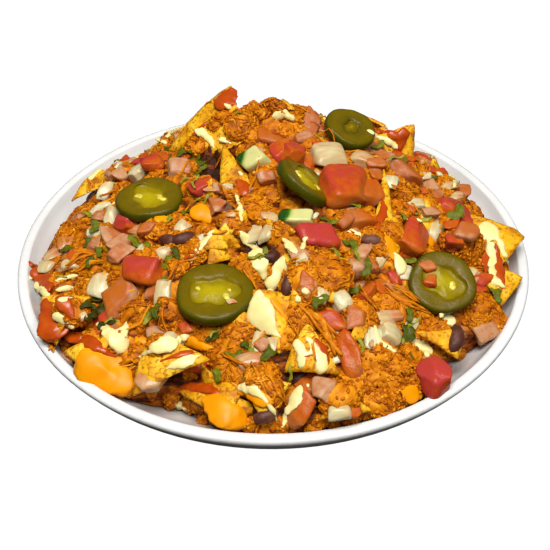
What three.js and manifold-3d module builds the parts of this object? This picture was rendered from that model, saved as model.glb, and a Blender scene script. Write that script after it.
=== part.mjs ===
// A heap of loaded nachos in a shallow coupe bowl.
// Millimetres, +Z up. The origin is the middle of the bowl's footprint, on the surface it stands on.

import * as THREE from "three";
import { mergeVertices } from "three/addons/utils/BufferGeometryUtils.js";
import Module from "manifold-3d";

const wasm = await Module();
wasm.setup();

// Driving dimensions: the bowl
const BOWL_RADIUS = 115;
const BOWL_HEIGHT = 27;
const FOOT_RADIUS = 78;
const FOOT_WIDTH = 4;
const FOOT_RECESS = 2;
const FLOOR_TOP = 5;
const BOWL_SIDES = 48;

// Driving dimensions: the heap
const HEAP_RADIUS = 106;
const HEAP_EDGE_Z = 26;
const HEAP_TOP_Z = 66;
const SUMMIT_Y = 25;
const HEAP_RINGS = 15;
const CLUMP_RELIEF = 1.7;
const WALL_CLEARANCE = 0.8;
const EDGE_MARGIN = 8;

// Driving dimensions: the pieces
const GAP = 0.35;
const CHIP_THICKNESS = 1.8;
const CHIP_STEPS = 4;
const PEPPER_SLICE_THICKNESS = 5.5;
const PEPPER_SIDES = 16;
const SHRED_COUNT = 60;
const CORNER_COUNT = 20;
const CORNER_SIZE = [17, 13];
const SHRED_SIZE = [15, 2.6, 2];
const BEAN_SIZE = [12, 7, 6];
const BIT_SIZE = [7, 6, 5];
const BLOB_SIZE = [14, 11, 5];
const SEED = 11;
const GOLDEN_ANGLE = THREE.MathUtils.degToRad(137.5);

// Where the heap's edge draws back from the wall: angle, depth and half width in degrees
const NOTCHES = [
  { angle: -113, depth: 13, width: 9 },
  { angle: -43, depth: 11, width: 8 },
  { angle: 150, depth: 9, width: 28 },
  { angle: 25, depth: 7, width: 22 },
  { angle: 90, depth: 6, width: 40 },
];

// Mounds of chicken, and the hollows between the chips: place, height and radius
const SWELLS = [
  { x: -1, y: 50, height: 10, radius: 15 },
  { x: -76, y: 26, height: 5, radius: 12 },
  { x: 84, y: 34, height: 5, radius: 12 },
  { x: 36, y: -86, height: 4, radius: 14 },
  { x: -24, y: 13, height: -14, radius: 9 },
  { x: -15, y: -14, height: -5, radius: 7 },
  { x: -7, y: -34, height: -5, radius: 6 },
  { x: 1, y: -50, height: -4, radius: 6 },
];

const MATERIALS = {
  bowl: new THREE.MeshStandardMaterial({ color: 0xf0f0ec, roughness: 0.25, metalness: 0 }),
  chicken: new THREE.MeshStandardMaterial({ color: 0xc8741e, roughness: 0.6, metalness: 0 }),
  chip: new THREE.MeshStandardMaterial({ color: 0xe8b21c, roughness: 0.7, metalness: 0 }),
  jalapeno: new THREE.MeshStandardMaterial({ color: 0x7a7c10, roughness: 0.3, metalness: 0 }),
  tomato: new THREE.MeshStandardMaterial({ color: 0xcf4632, roughness: 0.35, metalness: 0 }),
  onion: new THREE.MeshStandardMaterial({ color: 0xdccfa8, roughness: 0.4, metalness: 0 }),
  cucumber: new THREE.MeshStandardMaterial({ color: 0xc9cf8c, roughness: 0.4, metalness: 0 }),
};

// A seeded random draw between low and high
function makeRandom(seed) {
  let state = seed;
  return (low, high) => {
    state = (state * 1664525 + 1013904223) % 4294967296;
    return low + (high - low) * (state / 4294967296);
  };
}

// Solids and their joins
function toSolid(geometry) {
  const bare = geometry.clone();
  bare.deleteAttribute("normal");
  bare.deleteAttribute("uv");
  const merged = mergeVertices(bare, 1e-4);
  const triVerts = new Uint32Array(merged.index.array);
  const vertProperties = new Float32Array(merged.attributes.position.array);
  return new wasm.Manifold(new wasm.Mesh({ numProp: 3, vertProperties, triVerts }));
}

function toGeometry(solid) {
  const mesh = solid.getMesh();
  const geometry = new THREE.BufferGeometry();
  geometry.setAttribute("position", new THREE.BufferAttribute(new Float32Array(mesh.vertProperties), 3));
  geometry.setIndex(new THREE.BufferAttribute(new Uint32Array(mesh.triVerts), 1));
  return geometry;
}

function largestPiece(solid) {
  const pieces = solid.decompose();
  return pieces.reduce((best, piece) => (piece.volume() > best.volume() ? piece : best));
}

function crosses(first, second) {
  return !first.intersect(second).isEmpty();
}

// The bowl: its inner face from the middle of the floor to the lip, and its outer face back to the foot
const INNER_FACE = [
  [0, FLOOR_TOP],
  [60, FLOOR_TOP],
  [80, FLOOR_TOP + 0.6],
  [90, FLOOR_TOP + 3.2],
  [98, FLOOR_TOP + 7.4],
  [104, FLOOR_TOP + 12.5],
  [107.8, FLOOR_TOP + 16.7],
  [BOWL_RADIUS - 5.2, BOWL_HEIGHT - 2],
  [BOWL_RADIUS - 4.2, BOWL_HEIGHT - 0.5],
];

const OUTER_FACE = [
  [BOWL_RADIUS - 2, BOWL_HEIGHT],
  [BOWL_RADIUS - 0.4, BOWL_HEIGHT - 0.6],
  [BOWL_RADIUS, BOWL_HEIGHT - 2],
  [BOWL_RADIUS - 1, BOWL_HEIGHT - 4],
  [BOWL_RADIUS - 5, BOWL_HEIGHT - 9.5],
  [104, 12],
  [96, 7.4],
  [84, 3.5],
  [FOOT_RADIUS, 0],
  [FOOT_RADIUS - FOOT_WIDTH, 0],
  [FOOT_RADIUS - FOOT_WIDTH - 2, FOOT_RECESS],
  [0, FOOT_RECESS],
];

function bowl(grow) {
  const lifted = INNER_FACE.map(([r, z]) => [Math.max(0, r - (r > 0 ? grow : 0)), z + grow]);
  const profile = [...lifted, ...OUTER_FACE.map(([r, z]) => [r, z > BOWL_HEIGHT - 1 ? z + grow : z])];
  const points = profile.reverse().map(([r, z]) => new THREE.Vector2(r, z));
  return new THREE.LatheGeometry(points, BOWL_SIDES).rotateX(Math.PI / 2);
}

function wallHeight(radius) {
  for (let i = 1; i < INNER_FACE.length; i += 1) {
    const [r0, z0] = INNER_FACE[i - 1];
    const [r1, z1] = INNER_FACE[i];
    if (radius <= r1) return z0 + ((z1 - z0) * (radius - r0)) / (r1 - r0);
  }
  return BOWL_HEIGHT;
}

// The heap's bare core
function edgeRadius(angle) {
  let radius = HEAP_RADIUS;
  for (const notch of NOTCHES) {
    const turn = ((THREE.MathUtils.radToDeg(angle) - notch.angle + 540) % 360) - 180;
    radius -= notch.depth * Math.exp(-((turn / notch.width) ** 2));
  }
  return radius;
}

function heapHeight(x, y) {
  const edge = edgeRadius(Math.atan2(y, x));
  const reach = Math.hypot(x, y - SUMMIT_Y) + 1e-6;
  const along = (SUMMIT_Y * (y - SUMMIT_Y)) / reach;
  const length = -along + Math.sqrt(along * along - SUMMIT_Y * SUMMIT_Y + edge * edge);
  const inside = Math.max(0, 1 - (reach / length) ** 2);
  let height = HEAP_EDGE_Z + (HEAP_TOP_Z - HEAP_EDGE_Z) * inside;
  for (const swell of SWELLS) {
    const distance = Math.hypot(x - swell.x, y - swell.y) / swell.radius;
    height += swell.height * Math.exp(-distance * distance);
  }
  const clumps = Math.sin(x / 5.3 + 1.1) * Math.cos(y / 6.1 - 0.4) + Math.sin((x + y) / 7.9);
  return height + CLUMP_RELIEF * clumps * Math.min(1, inside * 4);
}

function heapNormal(x, y) {
  const step = 3;
  const slopeX = (heapHeight(x + step, y) - heapHeight(x - step, y)) / (2 * step);
  const slopeY = (heapHeight(x, y + step) - heapHeight(x, y - step)) / (2 * step);
  return new THREE.Vector3(-slopeX, -slopeY, 1).normalize();
}

// The top is a disc of rings, ring k with 6k points. The underside follows the bowl.
function heapCore() {
  const points = [[0, 0, heapHeight(0, 0)]];
  const faces = [];
  const ringStart = (ring) => (ring === 0 ? 0 : 1 + 3 * ring * (ring - 1));
  for (let ring = 1; ring <= HEAP_RINGS; ring += 1) {
    for (let i = 0; i < 6 * ring; i += 1) {
      const angle = (Math.PI * i) / (3 * ring);
      const radius = (edgeRadius(angle) * ring) / HEAP_RINGS;
      const x = radius * Math.cos(angle);
      const y = radius * Math.sin(angle);
      points.push([x, y, heapHeight(x, y)]);
    }
    for (let side = 0; side < 6; side += 1) {
      for (let i = 0; i < ring; i += 1) {
        const inner = (k) => ringStart(ring - 1) + ((side * (ring - 1) + k) % Math.max(1, 6 * (ring - 1)));
        const outer = (k) => ringStart(ring) + ((side * ring + k) % (6 * ring));
        faces.push([outer(i), outer(i + 1), inner(i)]);
        if (i < ring - 1) faces.push([inner(i), outer(i + 1), inner(i + 1)]);
      }
    }
  }
  const count = 6 * HEAP_RINGS;
  let upper = ringStart(HEAP_RINGS);
  for (const shrink of [0.985, 0.92, 0.82, 0.5]) {
    const lower = points.length;
    for (let i = 0; i < count; i += 1) {
      const angle = (2 * Math.PI * i) / count;
      const radius = edgeRadius(angle) * shrink;
      const z = wallHeight(radius) + WALL_CLEARANCE;
      points.push([radius * Math.cos(angle), radius * Math.sin(angle), z]);
    }
    for (let i = 0; i < count; i += 1) {
      const next = (i + 1) % count;
      faces.push([upper + i, lower + i, lower + next]);
      faces.push([upper + i, lower + next, upper + next]);
    }
    upper = lower;
  }
  const middle = points.length;
  points.push([0, 0, FLOOR_TOP + WALL_CLEARANCE]);
  for (let i = 0; i < count; i += 1) {
    faces.push([upper + i, middle, upper + ((i + 1) % count)]);
  }
  const geometry = new THREE.BufferGeometry();
  geometry.setAttribute("position", new THREE.Float32BufferAttribute(points.flat(), 3));
  geometry.setIndex(faces.flat());
  return geometry;
}

// A slice of pickled jalapeno: a ring of flesh, a shallow seed hollow and a raised middle.
// A grown one is a plain drum that contains it, used to cut the nest that it lies in.
function jalapenoSlice(diameter, phase, grow) {
  const radius = diameter / 2 + grow;
  const half = PEPPER_SLICE_THICKNESS / 2 + grow;
  const face = [
    [0.62, 0.92],
    [0.5, 0.35],
    [0.32, 0.45],
    [0, 0.75],
  ];
  const rim = [
    [0, -1],
    [0.82, -1],
    [1, -0.35],
    [1, 0.4],
    [0.9, 1],
  ];
  const profile = [...rim, ...(grow > 0 ? [[0, 1]] : face)];
  const points = profile.map(([r, z]) => new THREE.Vector2(r * radius, z * half));
  const slice = new THREE.LatheGeometry(points, PEPPER_SIDES).rotateX(Math.PI / 2);
  const position = slice.attributes.position;
  for (let i = 0; i < position.count; i += 1) {
    const x = position.getX(i);
    const y = position.getY(i);
    const lobes = 1 + 0.03 * Math.cos(3 * Math.atan2(y, x) + phase);
    position.setXY(i, x * lobes, y * lobes * 0.95);
  }
  return slice;
}

// A cut chunk of tomato, onion or cucumber: a rounded block, a little skewed
function chunk(size, phase, grow, around = 6, high = 4) {
  const shape = new THREE.SphereGeometry(1, around, high);
  const position = shape.attributes.position;
  const half = size.map((side) => side / 2 + grow);
  for (let i = 0; i < position.count; i += 1) {
    const x = position.getX(i);
    const y = position.getY(i);
    const z = position.getZ(i);
    const norm = (Math.abs(x) ** 4 + Math.abs(y) ** 4 + Math.abs(z) ** 4) ** 0.25;
    const skew = 1 + 0.12 * Math.sin(2.1 * x + 1.7 * y + 1.3 * z + phase);
    position.setXYZ(i, (x / norm) * half[0] * skew, (y / norm) * half[1] * skew, (z / norm) * half[2] * skew);
  }
  return shape;
}

// A strip bent to an arc along its length: a layer of onion, a shred of chicken or a line of sauce
function bentStrip(size, bend, grow, steps = 3) {
  const [length, width, thickness] = size.map((side) => side + 2 * grow);
  const strip = new THREE.BoxGeometry(length, width, thickness, steps, 1, 1);
  const position = strip.attributes.position;
  for (let i = 0; i < position.count; i += 1) {
    const along = position.getX(i) / (length / 2);
    position.setZ(i, position.getZ(i) - bend * along * along);
  }
  return strip;
}

// A tortilla chip: a thin triangle between three corners, its tips rounded and its middle bulging
function chip(corners, bulge, grow, steps = CHIP_STEPS) {
  const [a, b, c] = corners.map((corner) => new THREE.Vector3(...corner));
  const normal = new THREE.Vector3().crossVectors(b.clone().sub(a), c.clone().sub(a)).normalize();
  const facing = normal.y * -0.6 + normal.z * 0.8 < 0 ? -1 : 1;
  const middle = a.clone().add(b).add(c).divideScalar(3);
  const half = CHIP_THICKNESS / 2 + grow;
  const spread = 1 + (2.5 * grow) / middle.distanceTo(a);
  const points = [];
  const faces = [];
  const at = {};
  for (const layer of [1, -1]) {
    for (let i = 0; i <= steps; i += 1) {
      for (let j = 0; j <= steps - i; j += 1) {
        const share = [(steps - i - j) / steps, i / steps, j / steps];
        const isTip = Math.max(...share) === 1;
        const point = new THREE.Vector3().addScaledVector(a, share[0]).addScaledVector(b, share[1]);
        point.addScaledVector(c, share[2]).sub(middle).multiplyScalar(isTip ? 0.93 * spread : spread);
        const dome = 1 - (share[0] ** 2 + share[1] ** 2 + share[2] ** 2 - 1 / 3) * 1.5;
        point.add(middle).addScaledVector(normal, facing * (bulge * dome + layer * half));
        at[`${layer},${i},${j}`] = points.length / 3;
        points.push(point.x, point.y, point.z);
      }
    }
  }
  const face = (keys) => faces.push(...(facing > 0 ? keys : keys.reverse()));
  for (const layer of [1, -1]) {
    const point = (i, j) => at[`${layer},${i},${j}`];
    const skin = (keys) => face(layer > 0 ? keys : keys.reverse());
    for (let i = 0; i < steps; i += 1) {
      for (let j = 0; j < steps - i; j += 1) {
        skin([point(i, j), point(i + 1, j), point(i, j + 1)]);
        if (i + j < steps - 1) skin([point(i + 1, j), point(i + 1, j + 1), point(i, j + 1)]);
      }
    }
  }
  const border = [];
  for (let k = 0; k < steps; k += 1) border.push([k, 0]);
  for (let k = 0; k < steps; k += 1) border.push([steps - k, k]);
  for (let k = 0; k < steps; k += 1) border.push([0, steps - k]);
  for (let k = 0; k < border.length; k += 1) {
    const [i0, j0] = border[k];
    const [i1, j1] = border[(k + 1) % border.length];
    const low = [at[`-1,${i0},${j0}`], at[`-1,${i1},${j1}`]];
    const high = [at[`1,${i0},${j0}`], at[`1,${i1},${j1}`]];
    face([low[0], low[1], high[1]]);
    face([low[0], high[1], high[0]]);
  }
  const geometry = new THREE.BufferGeometry();
  geometry.setAttribute("position", new THREE.Float32BufferAttribute(points, 3));
  geometry.setIndex(faces);
  return geometry;
}

// A place on the heap: upright along the given normal or the heap's own, turned about it, and lifted
function placeOnHeap(x, y, { turn = 0, lift = 0, normal = null } = {}) {
  const upright = new THREE.Vector3(0, 0, 1);
  const up = normal ? new THREE.Vector3(...normal).normalize() : heapNormal(x, y);
  const lean = new THREE.Quaternion().setFromUnitVectors(upright, up);
  const spin = new THREE.Quaternion().setFromAxisAngle(upright, THREE.MathUtils.degToRad(turn));
  const position = new THREE.Vector3(x, y, heapHeight(x, y)).addScaledVector(up, lift);
  return new THREE.Matrix4().compose(position, lean.multiply(spin), new THREE.Vector3(1, 1, 1));
}

// Toppings as large as berries, by place on the heap. The first named take the room first.
const JALAPENOS = [
  { name: "jalapeno_front", x: -23.5, y: -57.5, diameter: 31.5, lift: 4, normal: [0, -0.16, 0.99] },
  { name: "jalapeno_right", x: 69, y: -44, diameter: 28.5, lift: 3.5, normal: [0.1, -0.5, 0.86] },
  { name: "jalapeno_left", x: -53, y: -4.5, diameter: 30, lift: 3.5, normal: [-0.05, 0, 1] },
  { name: "jalapeno_middle", x: 11.5, y: -8, diameter: 28, lift: 4, normal: [0.59, 0.16, 0.79] },
  { name: "jalapeno_back", x: 34.5, y: 36.5, diameter: 24.5, lift: 4.5, normal: [0.3, -0.22, 0.93] },
];

const TOMATOES = [
  { name: "tomato_big", x: 30, y: -6, size: [22, 21, 11], turn: 20 },
  { name: "tomato_ripe", x: 16.5, y: -32, size: [17, 12, 9], turn: 15 },
  { name: "tomato_summit", x: 9, y: 12.5, size: [10, 15, 8], turn: -10 },
  { name: "tomato_flat", x: 41.5, y: -3, size: [13, 12, 8], turn: 10 },
  { name: "tomato_back_right", x: 58, y: 20, size: [20, 11, 8], turn: -35 },
  { name: "tomato_dark", x: 80, y: 1, size: [21, 14, 10], turn: -20 },
  { name: "tomato_right", x: 57.5, y: -25.5, size: [12, 17, 9], turn: -15 },
  { name: "tomato_round", x: -62, y: -14, size: [11, 9, 8], turn: 0 },
  { name: "tomato_left", x: -53, y: -42, size: [17, 12, 9], turn: -20 },
  { name: "tomato_glassy", x: -62, y: -48.5, size: [17, 14, 8], turn: 25 },
  { name: "tomato_long", x: 29.5, y: -82, size: [9, 21, 7], turn: 12 },
  { name: "tomato_strip", x: 10, y: -101, size: [8, 17, 7], turn: -18 },
  { name: "tomato_pink", x: 62.5, y: -87, size: [14, 13, 12], turn: 30 },
  { name: "tomato_small", x: 22.5, y: -70, size: [11, 9, 7], turn: 5 },
  { name: "tomato_top", x: -0.5, y: 24.5, size: [16, 9, 7], turn: 0 },
  { name: "tomato_back_left", x: -53, y: 21, size: [9, 12, 8], turn: 10 },
  { name: "tomato_behind_left", x: -24, y: 84, size: [14, 12, 9], turn: 40 },
  { name: "tomato_behind_right", x: 15, y: 72, size: [13, 15, 9], turn: -25 },
];

const ONIONS = [
  { name: "onion_cluster", x: 24.5, y: 15, size: [15, 14, 9], turn: 15, lift: 3 },
  { name: "onion_back_left", x: -60.5, y: 23, size: [12, 8, 5], turn: 15 },
  { name: "onion_left", x: -78, y: 8.5, size: [12, 5, 4], turn: 20 },
  { name: "onion_slice", x: -44, y: -54.5, size: [13, 7, 4], turn: 80 },
  { name: "onion_large", x: -47.5, y: -87, size: [13, 10, 5], turn: 60, lift: 8 },
  { name: "onion_front_right", x: 44.5, y: -72.5, size: [11, 9, 6], turn: -10 },
  { name: "onion_yellow", x: 40, y: 19, size: [11, 8, 5], turn: -20 },
  { name: "onion_middle", x: 27, y: -62, size: [8, 8, 5], turn: 30 },
  { name: "onion_behind", x: -2, y: 84, size: [12, 9, 5], turn: -35 },
];

const GREENS = [
  { name: "cucumber_piece", x: -7, y: 10, size: [11, 11, 9], turn: 25, lift: 2 },
  { name: "green_pepper", x: 10.5, y: -22, size: [14, 7, 6], turn: -10, lift: 1 },
];

// Chips, by their three corners in space and how far the middle bulges
const CHIPS = [
  { name: "chip_peak", bulge: 4, corners: [[-18, 54, 80], [-51, 43, 49], [-9, 19, 63]] },
  { name: "chip_arch", bulge: 4, corners: [[-22, 25, 66], [-22, -6, 50], [-5, -3, 60]] },
  { name: "chip_back_right", bulge: 2, corners: [[68, 50, 60], [67, 40, 36], [40, 42, 56]] },
  { name: "chip_right_tip", bulge: 3, corners: [[114, -5, 35], [80, 5, 42], [98, -26, 33]] },
  { name: "chip_right_low", bulge: 2, corners: [[109, -27, 29.5], [96, -45, 29], [85, -27, 36]] },
  { name: "chip_strip", bulge: 2, corners: [[50, 16, 60], [41, -29, 54], [51, -27, 51]] },
  { name: "chip_left_red", bulge: 3, corners: [[-99, -38, 31], [-74, -52, 43], [-88, -66, 29]] },
  { name: "chip_left_low", bulge: 2, corners: [[-85, -69, 29], [-62, -68, 38], [-72, -82, 28.6]] },
  { name: "chip_fold", bulge: 3, corners: [[-24, -86, 41], [-55, -94, 28.6], [-48, -70, 42]] },
  { name: "chip_front_cheese", bulge: 2, corners: [[-38, -87, 24], [-8, -90, 35], [-19, -107, 28.2]] },
  { name: "chip_front_bean", bulge: 2, corners: [[-13, -91, 38], [7, -94, 36], [-4, -108.5, 28.6]] },
  { name: "chip_small", bulge: 1, corners: [[-24, -27, 60], [-31, -38, 55], [-18, -38, 56]] },
  { name: "chip_middle", bulge: 2, corners: [[2, -40, 56], [32, -43, 54], [15, -67, 48]] },
  { name: "chip_shell", bulge: 5, corners: [[13, -72, 47], [3, -90, 37], [25, -92, 38]] },
  { name: "chip_front_low", bulge: 2, corners: [[16, -107, 28.8], [37, -102, 28.8], [24, -95, 36]] },
  { name: "chip_left", bulge: 2, corners: [[-95, 22, 36], [-71, 25, 45], [-82, 41, 42]] },
  { name: "chip_cream", bulge: 2, corners: [[-10, -57, 51], [9, -61, 50], [2, -84, 40]] },
  { name: "chip_low_right", bulge: 1, corners: [[56, -70, 39], [78, -64, 34], [73, -77, 30]] },
  { name: "chip_back_top", bulge: 2, corners: [[38, 64, 56], [57, 60, 50], [50, 73, 42]] },
  { name: "chip_behind_left", bulge: 3, corners: [[-64, 68, 32], [-34, 91, 33], [-36, 61, 51]] },
  { name: "chip_behind_right", bulge: 3, corners: [[28, 97, 32], [62, 78, 31], [42, 77, 47]] },
  { name: "chip_behind", bulge: 3, corners: [[-14, 98, 31], [15, 98, 32], [0, 76, 52]] },
];

// Small pieces fused to the heap, by place
const BEANS = [
  { x: -54, y: -75, turn: -70 },
  { x: -4, y: -86, turn: -30 },
  { x: 75, y: -56, turn: -75 },
  { x: -20, y: -20, turn: 60 },
  { x: -37, y: -29, turn: 0 },
  { x: 1, y: -41, turn: 70 },
  { x: 43, y: -27, turn: -40 },
  { x: 60, y: 55, turn: 20 },
  { x: -70, y: 55, turn: 40 },
  { x: 86, y: -12, turn: 10 },
];

const BLOBS = [
  { x: -92, y: -26, turn: 40 },
  { x: -70, y: -62, turn: 0 },
  { x: 52, y: -75, turn: 60 },
  { x: -34, y: -34, turn: 80 },
  { x: 66, y: 2, turn: 0 },
  { x: 92, y: -14, turn: 70 },
  { x: -60, y: -62, turn: 20 },
  { x: 30, y: 94, turn: 0 },
  { x: -52, y: 70, turn: 50 },
];

const BITS = [
  { x: -78, y: 31, turn: 10 },
  { x: -6, y: -30, turn: 20 },
  { x: 67, y: 23, turn: 5 },
  { x: 72, y: -15, turn: 40 },
  { x: -76, y: -8, turn: 15 },
  { x: -73, y: -40, turn: 80 },
  { x: 35, y: -44, turn: 10 },
  { x: -29, y: 32, turn: 0 },
  { x: -46, y: -69, turn: 25 },
  { x: 44, y: -50, turn: 0 },
  { x: 88, y: -52, turn: 10 },
  { x: 90, y: 40, turn: 30 },
  { x: -20, y: 98, turn: 20 },
];

// Every topping as a solid in its place, cut clear of those before it
function buildToppings() {
  const items = [];
  const add = (entry, material, matrix, shape) => items.push({ name: entry.name, material, matrix, shape });
  JALAPENOS.forEach((entry, index) => {
    const matrix = placeOnHeap(entry.x, entry.y, entry);
    add(entry, "jalapeno", matrix, (grow) => jalapenoSlice(entry.diameter, index, grow));
  });
  TOMATOES.forEach((entry, index) => {
    const matrix = placeOnHeap(entry.x, entry.y, { lift: entry.size[2] * 0.25, ...entry });
    add(entry, "tomato", matrix, (grow) => chunk(entry.size, index, grow));
  });
  ONIONS.forEach((entry) => {
    const matrix = placeOnHeap(entry.x, entry.y, { lift: entry.size[2] * 0.3, ...entry });
    add(entry, "onion", matrix, (grow) => bentStrip(entry.size, 1.4, grow));
  });
  GREENS.forEach((entry, index) => {
    const matrix = placeOnHeap(entry.x, entry.y, entry);
    add(entry, "cucumber", matrix, (grow) => chunk(entry.size, index + 2, grow));
  });
  CHIPS.forEach((entry) => {
    add(entry, "chip", new THREE.Matrix4(), (grow) => chip(entry.corners, entry.bulge, grow));
  });
  const bowlRoom = toSolid(bowl(GAP));
  const taken = [];
  for (const item of items) {
    let solid = toSolid(item.shape(0).applyMatrix4(item.matrix));
    if (crosses(solid, bowlRoom)) solid = solid.subtract(bowlRoom);
    for (const other of taken) {
      if (crosses(solid, other)) solid = solid.subtract(other);
    }
    item.solid = largestPiece(solid);
    item.room = toSolid(item.shape(GAP).applyMatrix4(item.matrix));
    taken.push(item.room);
  }
  return items;
}

// The heap: the core with a nest for each topping, and the small pieces that show fused on.
// A small piece that would cross a topping or the bowl is left out.
function buildHeap(items) {
  const random = makeRandom(SEED);
  const rooms = [...items.map((item) => item.room), toSolid(bowl(GAP))];
  let heap = toSolid(heapCore());
  for (const item of items) heap = heap.subtract(item.room);
  heap = largestPiece(heap);
  const fuse = (shape, matrix) => {
    const piece = toSolid(shape.applyMatrix4(matrix));
    if (rooms.some((room) => crosses(piece, room))) return;
    if (crosses(piece, heap)) heap = heap.add(piece);
  };
  for (const { x, y, turn } of BEANS) {
    fuse(chunk(BEAN_SIZE, x, 0, 5, 4), placeOnHeap(x, y, { turn, lift: 1.5 }));
  }
  for (const { x, y, turn } of BLOBS) {
    fuse(chunk(BLOB_SIZE, y, 0), placeOnHeap(x, y, { turn, lift: 0.5 }));
  }
  for (const { x, y, turn } of BITS) {
    fuse(chunk(BIT_SIZE, x + y, 0, 5, 3), placeOnHeap(x, y, { turn, lift: 1.2 }));
  }
  const spread = (index, count, options) => {
    const angle = index * GOLDEN_ANGLE;
    const radius = Math.sqrt((index + 0.5) / count) * (edgeRadius(angle) - EDGE_MARGIN);
    const turn = random(0, 360);
    return placeOnHeap(radius * Math.cos(angle), radius * Math.sin(angle), { turn, ...options });
  };
  const [width, height] = CORNER_SIZE;
  for (let i = 0; i < CORNER_COUNT; i += 1) {
    const tip = [random(-0.3, 0.3) * width, 0.5 * height, height];
    const corner = chip([[-width / 2, 0, 0], [width / 2, 0, 0], tip], 0, 0, 1);
    fuse(corner, spread(i, CORNER_COUNT, { lift: -2.5 }));
  }
  for (let i = 0; i < SHRED_COUNT; i += 1) {
    fuse(bentStrip(SHRED_SIZE, 2.5, 0, 2), spread(i, SHRED_COUNT, { lift: 1.2 }));
  }
  return largestPiece(heap);
}

function toMesh(name, material, solid, matrix) {
  const mesh = new THREE.Mesh(toGeometry(solid), MATERIALS[material]);
  mesh.geometry.applyMatrix4(matrix.clone().invert());
  matrix.decompose(mesh.position, mesh.quaternion, mesh.scale);
  mesh.name = name;
  return mesh;
}

const nachos = new THREE.Group();
nachos.name = "nachos";
nachos.add(toMesh("plate", "bowl", toSolid(bowl(0)), new THREE.Matrix4()));
const toppings = buildToppings();
nachos.add(toMesh("nacho_heap", "chicken", buildHeap(toppings), new THREE.Matrix4()));
const layers = {};
for (const item of toppings) {
  layers[item.material] ??= new THREE.Group();
  layers[item.material].add(toMesh(item.name, item.material, item.solid, item.matrix));
}
nachos.add(...Object.values(layers));

export default nachos;
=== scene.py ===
"""Loaded nachos heaped in a shallow round bowl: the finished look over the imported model."""

import itertools
import math
import random

import bpy
import numpy as np
from bpy.props import FloatProperty, IntProperty, PointerProperty
from mathutils import Matrix, Quaternion, Vector, noise
from mathutils.bvhtree import BVHTree
from mathutils.kdtree import KDTree


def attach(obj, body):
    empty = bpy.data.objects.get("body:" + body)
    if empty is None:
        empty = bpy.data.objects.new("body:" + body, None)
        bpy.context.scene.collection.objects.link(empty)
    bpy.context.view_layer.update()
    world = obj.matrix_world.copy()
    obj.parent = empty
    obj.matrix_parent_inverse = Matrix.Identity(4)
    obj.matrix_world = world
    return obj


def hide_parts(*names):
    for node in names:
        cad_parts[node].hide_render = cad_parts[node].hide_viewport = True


bl_info = {
    "name": "Loaded nachos",
    "version": (1, 0, 0),
    "blender": (4, 5, 0),
    "location": "3D View > Sidebar > Nachos",
    "description": "Builds a bowl of loaded nachos over its packed model",
    "category": "Add Mesh",
}

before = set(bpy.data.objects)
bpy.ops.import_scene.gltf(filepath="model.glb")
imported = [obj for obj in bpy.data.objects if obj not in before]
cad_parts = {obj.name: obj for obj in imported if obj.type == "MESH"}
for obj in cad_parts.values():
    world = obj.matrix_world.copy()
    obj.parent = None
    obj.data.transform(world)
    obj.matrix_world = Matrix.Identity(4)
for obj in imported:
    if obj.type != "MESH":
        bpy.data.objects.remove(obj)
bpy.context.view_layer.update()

# All places and sizes below are in millimetres, and a mesh is made in metres at the end
MM = 0.001

# The bowl's inner face from the middle of the floor to the lip, and its outer face back to the foot
INNER_FACE = [(0, 5), (60, 5), (80, 5.6), (90, 8.2), (98, 12.4), (104, 17.5)]
INNER_FACE += [(107.8, 21.7), (109.8, 25), (110.8, 26.5)]
OUTER_FACE = [(113, 27), (114.6, 26.4), (115, 25), (114.2, 23)]
OUTER_FACE += [(110.8, 17.5), (105, 12), (97, 7.4), (84, 3.5)]
FOOT_FACE = [(78, 0), (74, 0), (72, 2), (0, 2)]
# How many steps the curve takes from one of these marks to the next
PROFILE_STEPS = 4

# The heap: its edge, its top, where the edge draws back (angle, depth, width) and its mounds and hollows
HEAP_RADIUS = 106
HEAP_EDGE_Z = 26
HEAP_TOP_Z = 66
SUMMIT_Y = 25
CLUMP_RELIEF = 1.7
NOTCHES = [(-113, 13, 9), (-43, 11, 8), (150, 9, 28), (25, 7, 22), (90, 6, 40)]
SWELLS = [
    (-1, 50, 10, 15),
    (-76, 26, 5, 12),
    (84, 34, 5, 12),
    (36, -86, 4, 14),
    (-24, 13, -14, 9),
    (-15, -14, -5, 7),
    (-7, -34, -5, 6),
    (1, -50, -4, 6),
]

# Slices with a solid of their own: name, place on the heap, diameter, lift and upward direction
JALAPENOS = [
    ("jalapeno_front", (-23.5, -57.5), 31.5, 4, (0, -0.16, 0.99)),
    ("jalapeno_right", (69, -44), 28.5, 3.5, (0.1, -0.5, 0.86)),
    ("jalapeno_left", (-53, -4.5), 30, 3.5, (-0.05, 0, 1)),
    ("jalapeno_middle", (11.5, -8), 28, 4, (0.59, 0.16, 0.79)),
    ("jalapeno_back", (34.5, 36.5), 24.5, 4.5, (0.3, -0.22, 0.93)),
]
# Each slice's seed chamber: its size as a share of the usual one, and how much darker it is
CHAMBERS = [(1.0, 0.04), (1.05, 0.06), (1.0, 0.02), (1.0, 0.0), (0.6, 0.34)]
# Half a slice's thickness, and the turn of its two rows of seeds in radians
SLICE_HALF = 2.75
SEED_TURN = -0.3
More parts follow.
